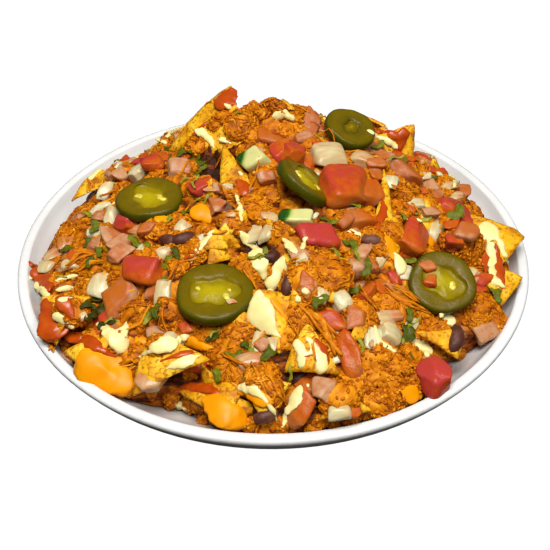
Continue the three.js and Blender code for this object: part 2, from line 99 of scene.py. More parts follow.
# Large dice of tomato: name, place, size, turn in degrees and tint
TOMATOES = [
    ("tomato_big", (30, -6), (22, 21, 11), 20, 0.42),
    ("tomato_ripe", (16.5, -32), (17, 12, 9), 15, 0.04),
    ("tomato_summit", (9, 12.5), (10, 15, 8), -10, 0.3),
    ("tomato_flat", (41.5, -3), (13, 12, 8), 10, 0.55),
    ("tomato_back_right", (58, 20), (20, 11, 8), -35, 0.7),
    ("tomato_dark", (80, 1), (21, 14, 10), -20, 0.15),
    ("tomato_right", (57.5, -25.5), (12, 17, 9), -15, 0.35),
    ("tomato_round", (-62, -14), (11, 9, 8), 0, 0.1),
    ("tomato_left", (-53, -42), (17, 12, 9), -20, 0.25),
    ("tomato_glassy", (-62, -48.5), (17, 14, 8), 25, 0.75),
    ("tomato_long", (29.5, -82), (9, 21, 7), 12, 0.5),
    ("tomato_strip", (10, -101), (8, 17, 7), -18, 0.6),
    ("tomato_pink", (62.5, -87), (14, 13, 12), 30, 0.06),
    ("tomato_small", (22.5, -70), (11, 9, 7), 5, 0.35),
    ("tomato_top", (-0.5, 24.5), (16, 9, 7), 0, 0.65),
    ("tomato_back_left", (-53, 21), (9, 12, 8), 10, 0.2),
    ("tomato_behind_left", (-24, 84), (14, 12, 9), 40, 0.25),
    ("tomato_behind_right", (15, 72), (13, 15, 9), -25, 0.5),
]
# Large pieces of onion: name, place, size, turn in degrees, lift and tint
ONIONS = [
    ("onion_cluster", (24.5, 15), (15, 14, 9), 15, 3, 0.42),
    ("onion_back_left", (-60.5, 23), (12, 8, 5), 15, 1.5, 0.2),
    ("onion_left", (-78, 8.5), (12, 5, 4), 20, 1.2, 0.1),
    ("onion_slice", (-44, -54.5), (13, 7, 4), 80, 1.2, 0.3),
    ("onion_large", (-47.5, -87), (13, 10, 5), 60, 8, 0.7),
    ("onion_front_right", (44.5, -72.5), (11, 9, 6), -10, 1.8, 0.35),
    ("onion_yellow", (40, 19), (11, 8, 5), -20, 1.5, 0.6),
    ("onion_middle", (27, -62), (8, 8, 5), 30, 1.5, 0.2),
    ("onion_behind", (-2, 84), (12, 9, 5), -35, 1.5, 0.2),
]
ONION_BEND = 1.4
# Cucumber and pepper: name, place, size, turn in degrees and lift
GREENS = [
    ("cucumber_piece", (-7, 10), (11, 11, 9), 25, 2),
    ("green_pepper", (10.5, -22), (14, 7, 6), -10, 1),
]

# Chips: name, how far the middle bulges, and three corners in space
CHIPS = [
    ("chip_peak", 4, (-18, 54, 80), (-51, 43, 49), (-9, 19, 63)),
    ("chip_arch", 4, (-22, 25, 66), (-22, -6, 50), (-5, -3, 60)),
    ("chip_back_right", 2, (68, 50, 60), (67, 40, 36), (40, 42, 56)),
    ("chip_right_tip", 3, (114, -5, 35), (80, 5, 42), (98, -26, 33)),
    ("chip_right_low", 2, (109, -27, 29.5), (96, -45, 29), (85, -27, 36)),
    ("chip_strip", 2, (50, 16, 60), (41, -29, 54), (51, -27, 51)),
    ("chip_left_red", 3, (-99, -38, 31), (-74, -52, 43), (-88, -66, 29)),
    ("chip_left_low", 2, (-85, -69, 29), (-62, -68, 38), (-72, -82, 28.6)),
    ("chip_fold", 3, (-24, -86, 41), (-55, -94, 28.6), (-48, -70, 42)),
    ("chip_front_cheese", 2, (-38, -87, 24), (-8, -90, 35), (-19, -107, 28.2)),
    ("chip_front_bean", 2, (-13, -91, 38), (7, -94, 36), (-4, -108.5, 28.6)),
    ("chip_small", 1, (-24, -27, 60), (-31, -38, 55), (-18, -38, 56)),
    ("chip_middle", 2, (2, -40, 56), (32, -43, 54), (15, -67, 48)),
    ("chip_shell", 5, (13, -72, 47), (3, -90, 37), (25, -92, 38)),
    ("chip_front_low", 2, (16, -107, 28.8), (37, -102, 28.8), (24, -95, 36)),
    ("chip_left", 2, (-95, 22, 36), (-71, 25, 45), (-82, 41, 42)),
    ("chip_cream", 2, (-10, -57, 51), (9, -61, 50), (2, -84, 40)),
    ("chip_low_right", 1, (56, -70, 39), (78, -64, 34), (73, -77, 30)),
    ("chip_back_top", 2, (38, 64, 56), (57, 60, 50), (50, 73, 42)),
    ("chip_behind_left", 3, (-64, 68, 32), (-34, 91, 33), (-36, 61, 51)),
    ("chip_behind_right", 3, (28, 97, 32), (62, 78, 31), (42, 77, 47)),
    ("chip_behind", 3, (-14, 98, 31), (15, 98, 32), (0, 76, 52)),
]
CHIP_THICKNESS = 1.8
CHIP_STEPS = 20

# The camera, by its place, its angles in degrees and its focal length in pixels of the square frame
CAMERA_PLACE = (0, -348.8, 311.3)
CAMERA_DROP = 40.937
CAMERA_YAW = 0.131
CAMERA_ROLL = -0.486
FOCAL_PIXELS = 983
FRAME_PIXELS = 550
# About how much of the heap one pixel covers
MM_PER_PIXEL = 0.43
SENSOR_WIDTH = 36

# Where sauces lie: each stroke's width in millimetres, then pixels of the frame along it,
# some with a third number that is the share of the width there
CREAM_STROKES = [
    (3.2, (225, 104), (231, 109)),
    (6.4, (274, 117, 0.6), (284, 114), (293, 120, 0.6)),
    (5.6, (196, 130, 0.7), (204, 134), (211, 141, 0.8), (214, 149, 0.4)),
    (4.0, (221, 139), (231, 143, 0.7)),
    (3.2, (236, 88, 0.5), (242, 94), (246, 99, 0.4)),
    (2.8, (240, 171), (243, 175)),
    (4.0, (236, 194, 0.6), (240, 206), (242, 222, 0.5)),
    (3.6, (370, 131), (377, 136)),
    (5.6, (381, 138, 0.7), (389, 142), (397, 148, 0.6)),
    (4.8, (240, 231, 0.6), (247, 240), (252, 248, 0.5)),
    (8.6, (255, 242, 0.3), (258, 254, 0.8), (261, 267), (264, 279, 0.4)),
    (9.4, (285, 258, 0.3), (280, 268, 0.9), (273, 280), (270, 293, 0.4)),
    (10.5, (258, 291, 0.5), (259, 304, 0.8), (263, 318), (270, 330, 0.7), (282, 338, 0.2)),
    (6.4, (211, 231, 0.5), (204, 240), (198, 250, 0.7), (191, 262, 0.5)),
    (4.8, (283, 239, 0.7), (291, 247), (298, 255, 0.5)),
    (3.2, (303, 290), (309, 292)),
    (3.2, (296, 297), (301, 301)),
    (5.6, (394, 252, 0.5), (400, 258), (402, 270), (398, 276, 0.5)),
    (4.0, (351, 231), (362, 236, 0.6)),
    (10.4, (484, 226, 0.8), (491, 231), (496, 238, 0.9)),
    (7.2, (480, 234, 0.6), (489, 246, 0.9), (492, 262, 0.7), (492, 284, 0.5)),
    (5.6, (500, 242), (504, 254, 0.7), (509, 270, 0.5)),
    (4.8, (494, 278, 0.6), (503, 287)),
    (4.0, (57, 279), (68, 277, 0.8), (80, 275, 0.4)),
    (3.6, (57, 290), (68, 288, 0.8), (81, 286, 0.4)),
    (3.6, (60, 299), (73, 297, 0.5)),
    (6.4, (54, 316, 0.6), (63, 320), (74, 328, 0.8)),
    (9.6, (99, 324, 0.3), (108, 330, 0.6), (116, 340), (124, 346, 0.8), (118, 352, 0.5)),
    (4.8, (126, 322, 0.5), (122, 334), (118, 344)),
    (6.4, (138, 357, 0.4), (152, 349, 0.8), (167, 344), (182, 338, 0.8), (195, 333, 0.4)),
    (4.8, (166, 369, 0.5), (178, 364), (190, 359, 0.9), (202, 354, 0.4)),
    (5.6, (30, 276, 0.4), (36, 284), (48, 297, 0.8)),
    (8.0, (297, 342, 0.5), (303, 354, 0.7), (300, 368, 0.4)),
    (8.0, (308, 338, 0.4), (316, 348, 0.7), (322, 364, 0.8), (318, 376, 0.4)),
    (7.2, (299, 388, 0.6), (294, 400), (287, 414, 0.7), (283, 426, 0.4)),
    (6.4, (242, 387, 0.6), (252, 388), (262, 396, 0.6), (272, 408, 0.5), (277, 420, 0.3)),
    (6.4, (378, 342, 0.4), (388, 346, 0.7), (396, 352, 0.5)),
    (8.0, (408, 336, 0.5), (418, 344), (430, 350, 0.6), (424, 360, 0.5)),
    (6.4, (440, 312, 0.5), (449, 320), (458, 328, 0.5)),
    (4.0, (375, 326, 0.6), (378, 338), (384, 344, 0.5)),
    (4.0, (176, 404), (188, 410)),
]
HOT_STROKES = [
    (8.0, (231, 88, 0.6), (228, 96), (222, 102, 0.9)),
    (8.0, (214, 100, 0.5), (224, 102), (236, 104, 0.6)),
    (7.0, (237, 180, 0.6), (243, 190), (249, 200, 0.7)),
    (5.0, (377, 131), (390, 133), (400, 138)),
    (9.0, (404, 130, 0.5), (402, 140), (400, 150, 0.5)),
    (9.0, (30, 263, 0.5), (38, 272), (46, 284), (50, 297, 0.5)),
    (12.0, (44, 302, 0.6), (50, 314), (52, 328), (52, 340, 0.5)),
    (7.0, (60, 300), (68, 308), (74, 318, 0.6)),
    (6.0, (58, 331, 0.6), (75, 337), (92, 343), (107, 352), (119, 358, 0.4)),
    (3.6, (160, 361, 0.6), (180, 354), (204, 350, 0.5)),
    (6.4, (175, 392, 0.5), (190, 386), (206, 388, 0.9), (222, 394, 0.3)),
    (6.0, (482, 232, 0.3), (484, 248, 0.6), (487, 266), (486, 276, 0.5)),
    (6.0, (496, 244, 0.4), (498, 258), (500, 274), (502, 290, 0.6)),
    (3.5, (253, 318, 0.5), (260, 326), (268, 331, 0.5)),
    (4.0, (382, 196, 0.5), (384, 208), (380, 222), (374, 236, 0.5)),
    (6.0, (316, 340, 0.5), (324, 350), (328, 366, 0.4)),
    (5.0, (402, 252, 0.5), (398, 262), (404, 272, 0.5)),
]
CHEESE_STROKES = [
    (15.0, (82, 352, 0.35), (92, 360, 0.8), (106, 372), (120, 384, 0.8), (130, 392, 0.5)),
    (12.0, (80, 360, 0.4), (92, 372), (106, 385), (120, 396, 0.7)),
    (9.0, (104, 354, 0.4), (116, 364), (130, 374, 0.6)),
    (9.0, (204, 399, 0.5), (218, 404), (232, 410), (244, 418, 0.6)),
    (9.0, (206, 409, 0.5), (218, 415), (232, 420), (247, 427, 0.6)),
    (7.0, (212, 420, 0.4), (226, 427), (240, 430, 0.5)),
    (7.0, (187, 341), (198, 345), (212, 350, 0.6)),
    (6.0, (137, 338), (148, 343, 0.7)),
    (9.0, (197, 208, 0.7), (204, 214), (210, 222, 0.6)),
    (8.0, (400, 390, 0.7), (412, 394), (426, 399, 0.7)),
    (6.0, (495, 260, 0.6), (499, 272), (502, 284, 0.7)),
    (6.0, (428, 237), (434, 245)),
    (6.0, (156, 218), (169, 223)),
    (8.0, (240, 392, 0.6), (256, 396), (272, 402, 0.6)),
    (6.0, (384, 232, 0.5), (390, 246), (396, 260, 0.7), (402, 268, 0.5)),
    (6.0, (272, 298, 0.5), (280, 308), (286, 320, 0.5)),
    (7.0, (425, 352, 0.5), (436, 354), (447, 358, 0.5)),
]
# Sauce on the side away from the camera, by places on the plan
CREAM_BEHIND = [
    (5.0, (-60, 60), (-48, 72), (-30, 70), (-16, 82)),
    (5.0, (28, 78), (40, 88), (56, 74), (70, 60)),
    (4.0, (0, 66), (10, 82), (26, 92)),
    (4.0, (-86, 30), (-74, 50), (-58, 78)),
    (4.0, (84, 20), (88, 40), (74, 62)),
]
HOT_BEHIND = [
    (4.5, (-40, 56), (-52, 74), (-40, 90)),
    (4.5, (8, 60), (20, 80), (8, 94)),
    (4.5, (60, 52), (74, 48), (88, 30)),
]
CHEESE_BEHIND = [
    (9.0, (-74, 60), (-64, 72), (-50, 84)),
    (9.0, (48, 86), (60, 80), (70, 70)),
    (8.0, (-20, 92), (-6, 96), (6, 92)),
]

# Small pieces: pixel, length in millimetres, turn in degrees and tint
BEAN_SPOTS = [
    (138, 380, 12, 70, 0.5), (183, 238, 11, 20, 0.5), (226, 211, 10, 80, 0.8), (275, 255, 11, 35, 0.3),
    (287, 286, 10, 70, 0.5), (371, 239, 9, 0, 0.8), (457, 338, 13, 75, 0.5), (266, 416, 10, 20, 0.6),
    (130, 363, 7, 0, 0.3), (97, 312, 10, 30, 0.1), (300, 375, 9, 60, 0.3),
]
ONION_SPOTS = [
    (105, 157, 3, 0, 0.9), (108, 169, 6, 30, 0.1), (107, 190, 9, 60, 0.15), (112, 218, 10, 70, 0.2),
    (98, 232, 9, 10, 0.1), (53, 255, 10, 40, 0.7), (47, 266, 8, 70, 0.4), (99, 284, 12, 80, 0.25),
    (256, 233, 10, 10, 0.35), (267, 232, 9, 70, 0.4), (166, 253, 9, 30, 0.45), (343, 301, 11, -30, 0.15),
    (379, 261, 10, 60, 0.35), (240, 108, 6, 0, 0.7), (272, 148, 9, 30, 0.05), (359, 164, 9, 0, 0.3),
    (352, 160, 8, 20, 0.25), (392, 182, 9, 80, 0.2), (418, 183, 8, 80, 0.15), (413, 204, 9, 0, 0.25),
    (436, 231, 9, 60, 0.3), (457, 196, 6, 0, 0.6), (372, 339, 10, 80, 0.05), (257, 342, 9, 80, 0.3),
    (271, 345, 8, 80, 0.35), (254, 359, 12, 10, 0.75), (342, 412, 9, 0, 0.35), (462, 330, 5, 0, 0.95),
    (370, 205, 9, 0, 0.65), (390, 315, 8, 0, 0.7), (379, 320, 9, 10, 0.45), (410, 325, 8, 60, 0.3),
    (403, 272, 7, 0, 0.05), (228, 187, 6, 0, 0.3), (320, 236, 6, 20, 0.2), (448, 186, 7, 20, 0.6),
    (231, 302, 4, 20, 0.6), (338, 333, 7, 80, 0.5), (70, 262, 7, 10, 0.5), (182, 226, 6, 40, 0.4),
    (150, 284, 9, 80, 0.2),
]
TOMATO_SPOTS = [
    (140, 157, 10, 20, 0.3), (155, 163, 9, 80, 0.1), (164, 164, 8, 0, 0.65), (178, 168, 11, 10, 0.85),
    (200, 185, 9, 30, 0.15), (98, 213, 9, 40, 0.35), (213, 188, 6, 0, 0.9), (217, 207, 9, 80, 0.85),
    (122, 245, 12, 60, 0.95), (113, 238, 10, 20, 0.85), (130, 232, 9, 0, 0.8), (118, 255, 10, 40, 0.9),
    (262, 140, 8, 0, 0.5), (280, 152, 9, 20, 0.2), (292, 148, 10, 60, 0.35), (297, 160, 9, 80, 0.3),
    (268, 178, 9, 0, 0.85), (309, 124, 12, 70, 0.6), (303, 138, 9, 20, 0.7), (373, 147, 8, 0, 0.55),
    (382, 156, 8, 50, 0.6), (378, 165, 9, 20, 0.45), (360, 176, 9, 0, 0.5), (368, 187, 9, 40, 0.35),
    (352, 192, 8, 10, 0.3), (439, 175, 9, 30, 0.3), (428, 187, 8, 0, 0.9), (436, 196, 8, 40, 0.75),
    (452, 226, 8, 0, 0.15), (465, 212, 9, 20, 0.45), (468, 232, 10, 70, 0.7), (430, 212, 8, 20, 0.8),
    (358, 219, 11, 20, 0.45), (346, 222, 8, 40, 0.5), (379, 289, 9, 60, 0.45), (396, 290, 8, 20, 0.75),
    (355, 268, 12, 10, 0.75), (362, 254, 8, 70, 0.9), (343, 330, 9, 80, 0.8), (482, 281, 9, 60, 0.2),
    (488, 332, 10, 20, 0.85), (353, 412, 6, 20, 0.3), (324, 390, 9, 50, 0.85), (308, 382, 9, 60, 0.5),
    (264, 345, 7, 60, 0.85), (158, 331, 9, 0, 0.9), (356, 319, 9, 0, 0.65), (470, 218, 8, 40, 0.5),
    (428, 267, 6, 30, 0.35), (431, 281, 6, 80, 0.3), (100, 222, 7, 20, 0.6), (148, 228, 7, 0, 0.5),
    (136, 250, 9, 60, 0.2),
]
LEAF_SPOTS = [
    (240, 115, 6, 0, 0.5), (184, 155, 10, 30, 0.4), (203, 163, 11, 60, 0.3), (196, 183, 10, 80, 0.4),
    (192, 160, 11, 50, 0.2), (198, 173, 13, 70, 0.4), (187, 181, 8, 20, 0.5),
    (178, 209, 9, 10, 0.5), (188, 212, 9, 60, 0.3), (200, 203, 9, 0, 0.4), (208, 199, 8, 40, 0.5),
    (138, 245, 12, 0, 0.5), (101, 252, 9, 70, 0.6), (67, 252, 7, 0, 0.4), (94, 228, 8, 80, 0.6),
    (177, 253, 11, 80, 0.1), (167, 264, 9, 20, 0.7), (256, 258, 9, 0, 0.4), (262, 255, 8, 60, 0.5),
    (352, 248, 9, 80, 0.4), (358, 258, 12, 60, 0.3), (366, 268, 10, 60, 0.4), (349, 243, 7, 0, 0.5),
    (354, 207, 7, 0, 0.8), (218, 331, 11, 70, 0.2), (234, 355, 9, 0, 0.4), (270, 356, 11, 30, 0.4),
    (409, 315, 8, 70, 0.4), (413, 325, 10, 60, 0.5), (405, 335, 11, 80, 0.3), (400, 345, 9, 60, 0.2),
    (497, 294, 12, 80, 0.6), (92, 318, 11, 30, 0.0), (100, 312, 9, 80, 0.0), (106, 325, 9, 60, 0.1),
    (88, 308, 8, 20, 0.0), (97, 300, 8, 0, 0.1), (320, 302, 9, 50, 0.4), (354, 291, 9, 10, 0.4),
    (455, 213, 11, 35, 0.7), (416, 213, 7, 0, 0.9), (425, 220, 7, 60, 0.9), (378, 146, 8, 40, 0.5),
    (396, 159, 9, 40, 0.4), (360, 346, 10, 80, 0.3), (158, 311, 9, 80, 0.3), (316, 406, 8, 20, 0.4),
    (290, 372, 9, 60, 0.1), (112, 322, 8, 10, 0.0), (213, 338, 7, 40, 0.2), (410, 262, 6, 20, 0.5),
]
# Chip corners that stick out: pixel, size, turn, and how steeply they stand
CORNER_SPOTS = [
    (91, 187, 12, 80, 50), (320, 121, 12, 60, 40), (356, 121, 16, 10, 50), (277, 231, 13, 30, 40),
    (241, 225, 12, 0, 30), (331, 291, 16, 0, 30), (392, 249, 11, 70, 40), (211, 380, 14, 10, 30),
    (326, 366, 15, 60, 40), (437, 360, 18, 20, 30), (276, 311, 15, 40, 40), (478, 342, 14, 0, 20),
    (60, 238, 12, 40, 30), (130, 300, 12, 0, 40), (160, 320, 14, 60, 30), (300, 330, 13, 20, 40),
    (385, 205, 13, 80, 40), (404, 152, 12, 30, 40), (425, 215, 12, 0, 30), (460, 250, 13, 50, 30),
    (230, 130, 12, 20, 40), (300, 105, 12, 60, 40), (360, 330, 13, 10, 30), (240, 320, 12, 50, 40),
    (194, 402, 13, 20, 40), (208, 396, 13, 70, 30), (236, 406, 14, 40, 30), (160, 404, 12, 30, 40),
    (78, 360, 15, 20, 20), (92, 372, 14, 60, 20), (300, 408, 13, 10, 30), (334, 410, 13, 50, 30),
    (314, 254, 17, 20, 20), (298, 248, 14, 70, 30), (216, 252, 14, 30, 30), (334, 262, 13, 50, 30),
    (258, 412, 13, 80, 30), (364, 412, 12, 30, 30), (438, 386, 12, 0, 30), (474, 362, 12, 60, 30),
]
# Clumps of pulled meat that the camera sees: pixel and radius in millimetres
MEAT_SPOTS = [
    (116, 174, 8), (82, 216, 8.5), (66, 238, 8.5), (80, 262, 10), (96, 266, 8), (84, 293, 8), (72, 312, 8),
    (154, 228, 7), (178, 224, 7), (203, 214, 7), (196, 250, 7),
    (248, 110, 6), (262, 111, 7), (276, 110, 6.5),
    (240, 126, 8), (254, 134, 8), (224, 118, 5), (214, 124, 4), (246, 150, 5), (252, 205, 8), (268, 196, 7),
    (262, 214, 7), (278, 236, 6), (300, 280, 9), (315, 262, 9), (332, 276, 9), (318, 292, 8),
    (345, 242, 7), (408, 196, 6), (446, 184, 7), (424, 166, 5), (456, 243, 9), (472, 252, 9), (484, 262, 6),
    (482, 306, 9), (492, 318, 8), (478, 320, 7), (440, 330, 8), (452, 312, 6), (132, 312, 10), (148, 322, 8),
    (172, 320, 9), (188, 330, 8), (160, 345, 6), (236, 338, 9), (222, 350, 8), (208, 336, 7), (226, 370, 8),
    (244, 374, 9), (262, 376, 8), (272, 392, 6), (358, 366, 10), (378, 360, 10), (398, 366, 9),
    (368, 382, 11),
    (392, 384, 10), (352, 388, 9), (376, 400, 8), (412, 374, 7), (340, 398, 8), (388, 300, 7), (370, 300, 7),
    (406, 310, 7), (424, 316, 7), (396, 340, 5), (320, 330, 8), (306, 320, 8), (330, 346, 7), (286, 338, 6),
    (50, 330, 5), (116, 340, 5), (200, 300, 6), (330, 196, 6), (350, 200, 6), (392, 232, 6),
]
# Long shreds: width in millimetres, then pixels along each one
SHREDS = [
    (2.4, (62, 322), (56, 334), (49, 350)),
    (2.2, (108, 371), (120, 364), (136, 355)),
    (2.0, (112, 376), (124, 370), (133, 364)),
    (3.6, (306, 308), (318, 322), (330, 338), (341, 356)),
    (2.4, (312, 306), (326, 324), (336, 336)),
    (2.2, (362, 290), (368, 298), (376, 310)),
    (2.4, (384, 290), (396, 298), (412, 304), (428, 310)),
    (2.0, (392, 286), (406, 292), (420, 302)),
    (2.6, (262, 360), (268, 374), (278, 388), (284, 402)),
    (2.4, (252, 362), (262, 380), (272, 396)),
    (2.2, (222, 352), (236, 362), (250, 366)),
    (2.2, (392, 186), (406, 190), (420, 190)),
    (2.0, (296, 312), (304, 306), (312, 304)),
    (2.2, (128, 330), (140, 322), (150, 308)),
    (2.2, (120, 312), (134, 304), (148, 302)),
    (2.0, (76, 272), (90, 262), (104, 262)),
    (2.0, (66, 268), (80, 256), (96, 252)),
    (2.0, (242, 268), (252, 280), (258, 290)),
    (1.8, (420, 172), (419, 164), (417, 159)),
    (1.8, (428, 174), (428, 168), (426, 161)),
    (2.0, (92, 190), (91, 184), (88, 179)),
    (2.2, (236, 330), (248, 326), (262, 330)),
]
# Every random draw starts from this number
SEED = 20
# The share of the heap's radius from where its side falls steeply to the bowl; from there out the core is tinted dark
# as painted shade
STEEP_FROM = 0.9
CLIFF_ROWS = 12
# Clumps of meat: how many places are tried over the heap, and how many small ones lie along its side
CLUMP_TRIES = 1500
EDGE_CLUMPS = 150
EDGE_CLUMP_RADII = (2.6, 4.2)
# The crumbly mass at the front: pixels of its corners
CRUMBLY = (335, 350, 430, 420)
# Random small pieces lie mostly beyond this, as the listed ones cover the near side
FAR_SIDE_Y = 30
NEAR_SHARE = 0.3
# Nor do they lie on the bare meat at the summit
SUMMIT = (-4, 46)
SUMMIT_CLEAR = 26
# A sauce or a shred spans a gap up to this depth
BRIDGE = 3.0
# Its depth is evened over this many places to each side, and its skin has cells of this size in millimetres
EVENED = 3
SAUCE_CELL = 0.6
# The matted relief of the core: the clumps' usual distance and that of the fibres
CLUMP_SPACING = 7.5
FIBRE_SPACING = 2.1
# How strongly a large dice of tomato fades from its skin to its flesh, where it isn't as the others
STRONG_FADES = {"tomato_big": 1.5}
FLESH_FADE = 0.2
STREAK_SHARE = 0.08
# Deep gaps between the chips, where little light gets in: plan place and radius
DARK_HOLLOWS = [(-24, 13, 11), (-15, -14, 11), (-7, -34, 9), (1, -50, 7)]
DARK_HOLLOWS += [(-36, -92, 12), (-26, 22, 9), (6, -82, 7)]


def linear(colour):
    """An sRGB hex colour as linear red, green, blue and alpha."""
    parts = [int(colour[i : i + 2], 16) / 255 for i in (1, 3, 5)]
    return (*(c / 12.92 if c <= 0.04045 else ((c + 0.055) / 1.055) ** 2.4 for c in parts), 1.0)


def add_node(tree, kind, settings=None, links=None):
    """A node with its settings, by socket or by attribute, and its links."""
    node = tree.nodes.new(kind)
    for key, value in (settings or {}).items():
        if key == "stops":
            ramp = node.color_ramp
            while len(ramp.elements) < len(value):
                ramp.elements.new(0.5)
            for element, (place, colour) in zip(ramp.elements, value):
                element.position = place
                element.color = linear(colour)
        elif isinstance(key, int) or key in node.inputs:
            node.inputs[key].default_value = value
        else:
            setattr(node, key, value)
    for key, socket in (links or {}).items():
        tree.links.new(socket, node.inputs[key])
    return node


def new_material(name):
    """An empty node material with its output, and its tree."""
    material = bpy.data.materials.new(name)
    material.use_nodes = True
    tree = material.node_tree
    tree.nodes.clear()
    output = add_node(tree, "ShaderNodeOutputMaterial")
    return material, tree, output


def food_material(name, stops, grain, shader, relief, tint_share=0.6):
    """A food's colour, from each piece's own tint and a grain in its own coordinates, with relief."""
    material, tree, output = new_material(name)
    place = add_node(tree, "ShaderNodeAttribute", {"attribute_name": "local"})
    tint = add_node(tree, "ShaderNodeAttribute", {"attribute_name": "tint"})
    mapping = add_node(tree, "ShaderNodeMapping", {"Scale": grain}, {"Vector": place.outputs["Vector"]})
    grained = {"Vector": mapping.outputs[0]}
    coarse = add_node(tree, "ShaderNodeTexNoise", {"Scale": 1.0, "Detail": 4.0}, grained)
    fine = add_node(tree, "ShaderNodeTexNoise", {"Scale": 3.4, "Detail": 5.0}, grained)
    spread = add_node(
        tree, "ShaderNodeMapRange",
        {"From Min": 0.3, "From Max": 0.7, "To Min": -(1 - tint_share) / 2, "To Max": (1 - tint_share) / 2},
        {"Value": coarse.outputs["Fac"]},
    )
    share = add_node(
        tree, "ShaderNodeMath", {"operation": "ADD", "use_clamp": True},
        {0: tint.outputs["Fac"], 1: spread.outputs[0]},
    )
    ramp = add_node(tree, "ShaderNodeValToRGB", {"stops": stops}, {0: share.outputs[0]})
    strength, depth = relief
    bump = add_node(
        tree, "ShaderNodeBump",
        {"Strength": strength, "Distance": depth * MM},
        {"Height": fine.outputs["Fac"]},
    )
    surface = add_node(
        tree, "ShaderNodeBsdfPrincipled", shader, {"Base Color": ramp.outputs[0], "Normal": bump.outputs[0]}
    )
    tree.links.new(surface.outputs[0], output.inputs["Surface"])
    return material


def make_materials():
    """Every material by its short name."""
    made = {}
    # Glazed stoneware, thrown and dipped: a clear white gloss with the faintest waves
    material, tree, output = new_material("glazed_stoneware")
    place = add_node(tree, "ShaderNodeTexCoord")
    wave = add_node(
        tree, "ShaderNodeTexNoise", {"Scale": 60.0, "Detail": 2.0}, {"Vector": place.outputs["Object"]}
    )
    white = add_node(
        tree, "ShaderNodeValToRGB", {"stops": [(0.3, "#D4D3CF"), (0.7, "#DCDBD8")]}, {0: wave.outputs["Fac"]}
    )
    bump = add_node(
        tree, "ShaderNodeBump", {"Strength": 0.08, "Distance": 0.4 * MM}, {"Height": wave.outputs["Fac"]}
    )
    glaze = add_node(
        tree, "ShaderNodeBsdfPrincipled",
        {"Roughness": 0.22, "IOR": 1.5, "Coat Weight": 0.3, "Coat Roughness": 0.08},
        {"Base Color": white.outputs[0], "Normal": bump.outputs[0]},
    )
    tree.links.new(glaze.outputs[0], output.inputs["Surface"])
    made["bowl"] = material
    # Pulled chicken in chilli sauce: orange brown fibres that shine where they are moist
    made["chicken"] = food_material(
        "pulled_chicken",
        [
            (0.0, "#341402"), (0.15, "#703002"), (0.34, "#A05202"),
            (0.58, "#BE6C02"), (0.8, "#D08408"), (1.0, "#DE9C2A"),
        ],
        (0.2, 0.6, 0.6),
        {"Roughness": 0.5, "Specular IOR Level": 0.12},
        (0.6, 0.5),
    )
    made["chip"] = chip_material()
    # Pickled jalapeno: olive skin outside, a paler glassy flesh and a yellow green middle, wet with brine
    made["jalapeno"] = food_material(
        "pickled_jalapeno",
        [
            (0.0, "#A8960A"), (0.25, "#867404"), (0.5, "#645202"),
            (0.7, "#564902"), (0.85, "#4A4602"), (1.0, "#3E3C02"),
        ],
        (0.25, 0.25, 0.25),
        {"Roughness": 0.24, "Specular IOR Level": 0.13, "Subsurface Weight": 0.1, "Subsurface Scale": 0.002},
        (0.35, 0.7),
        0.88,
    )
    made["seed"] = food_material(
        "jalapeno_seed",
        [(0.0, "#B49A3A"), (1.0, "#D9CC4E")],
        (1, 1, 1),
        {"Roughness": 0.25, "IOR": 1.45},
        (0.2, 0.2),
    )
    # Ripe tomato, diced: deep red skin to pink wet flesh
    made["tomato"] = food_material(
        "ripe_tomato",
        [
            (0.0, "#A83630"), (0.14, "#A83A1C"), (0.34, "#B04E0C"),
            (0.56, "#AA5A18"), (0.8, "#AA6238"), (1.0, "#B2845E"),
        ],
        (0.3, 0.3, 0.5),
        {"Roughness": 0.26, "Specular IOR Level": 0.17, "Subsurface Weight": 0.3, "Subsurface Scale": 0.002},
        (0.4, 0.5),
        0.68,
    )
    # Raw onion, diced: glassy layers, white to yellow, some stained by the sauce
    made["onion"] = food_material(
        "raw_onion",
        [(0.0, "#D2C9A2"), (0.3, "#BEAE80"), (0.55, "#BA9A6A"), (0.78, "#B4784E"), (1.0, "#AA6420")],
        (0.15, 0.45, 0.3),
        {"Roughness": 0.24, "Specular IOR Level": 0.3, "Subsurface Weight": 0.35, "Subsurface Scale": 0.002},
        (0.15, 0.4),
        0.6,
    )
    # Cucumber and green pepper: pale wet flesh under a dark green skin
    made["cucumber"] = food_material(
        "cucumber_flesh",
        [(0.0, "#C9C483"), (0.45, "#AFB062"), (0.7, "#6A8A2A"), (0.85, "#2F5E12"), (1.0, "#1C400A")],
        (0.3, 0.3, 0.3),
        {"Roughness": 0.2, "IOR": 1.4, "Subsurface Weight": 0.25, "Subsurface Scale": 0.003},
        (0.25, 0.4),
        0.9,
    )
    # Warm cheese sauce: thick, smooth and glossy
    made["cheese"] = food_material(
        "cheese_sauce",
        [(0.0, "#CE7800"), (0.5, "#DE8A00"), (1.0, "#EA9C02")],
        (0.12, 0.12, 0.12),
        {"Roughness": 0.36, "Specular IOR Level": 0.15},
        (0.15, 0.5),
    )
    # Thinned sour cream: a pale ivory drizzle
    made["cream"] = food_material(
        "sour_cream",
        [(0.0, "#D2BC68"), (0.5, "#E2D38C"), (1.0, "#EBE0AA")],
        (0.15, 0.15, 0.15),
        {"Roughness": 0.34, "Specular IOR Level": 0.35, "Subsurface Weight": 0.1, "Subsurface Scale": 0.003},
        (0.12, 0.4),
    )
    # Thin chilli sauce: clear orange red with a hard shine
    made["hot"] = food_material(
        "hot_sauce",
        [(0.0, "#8E2A02"), (0.5, "#A63E04"), (1.0, "#BA5A0A")],
        (0.2, 0.2, 0.2),
        {"Roughness": 0.24, "Specular IOR Level": 0.3},
        (0.15, 0.4),
    )
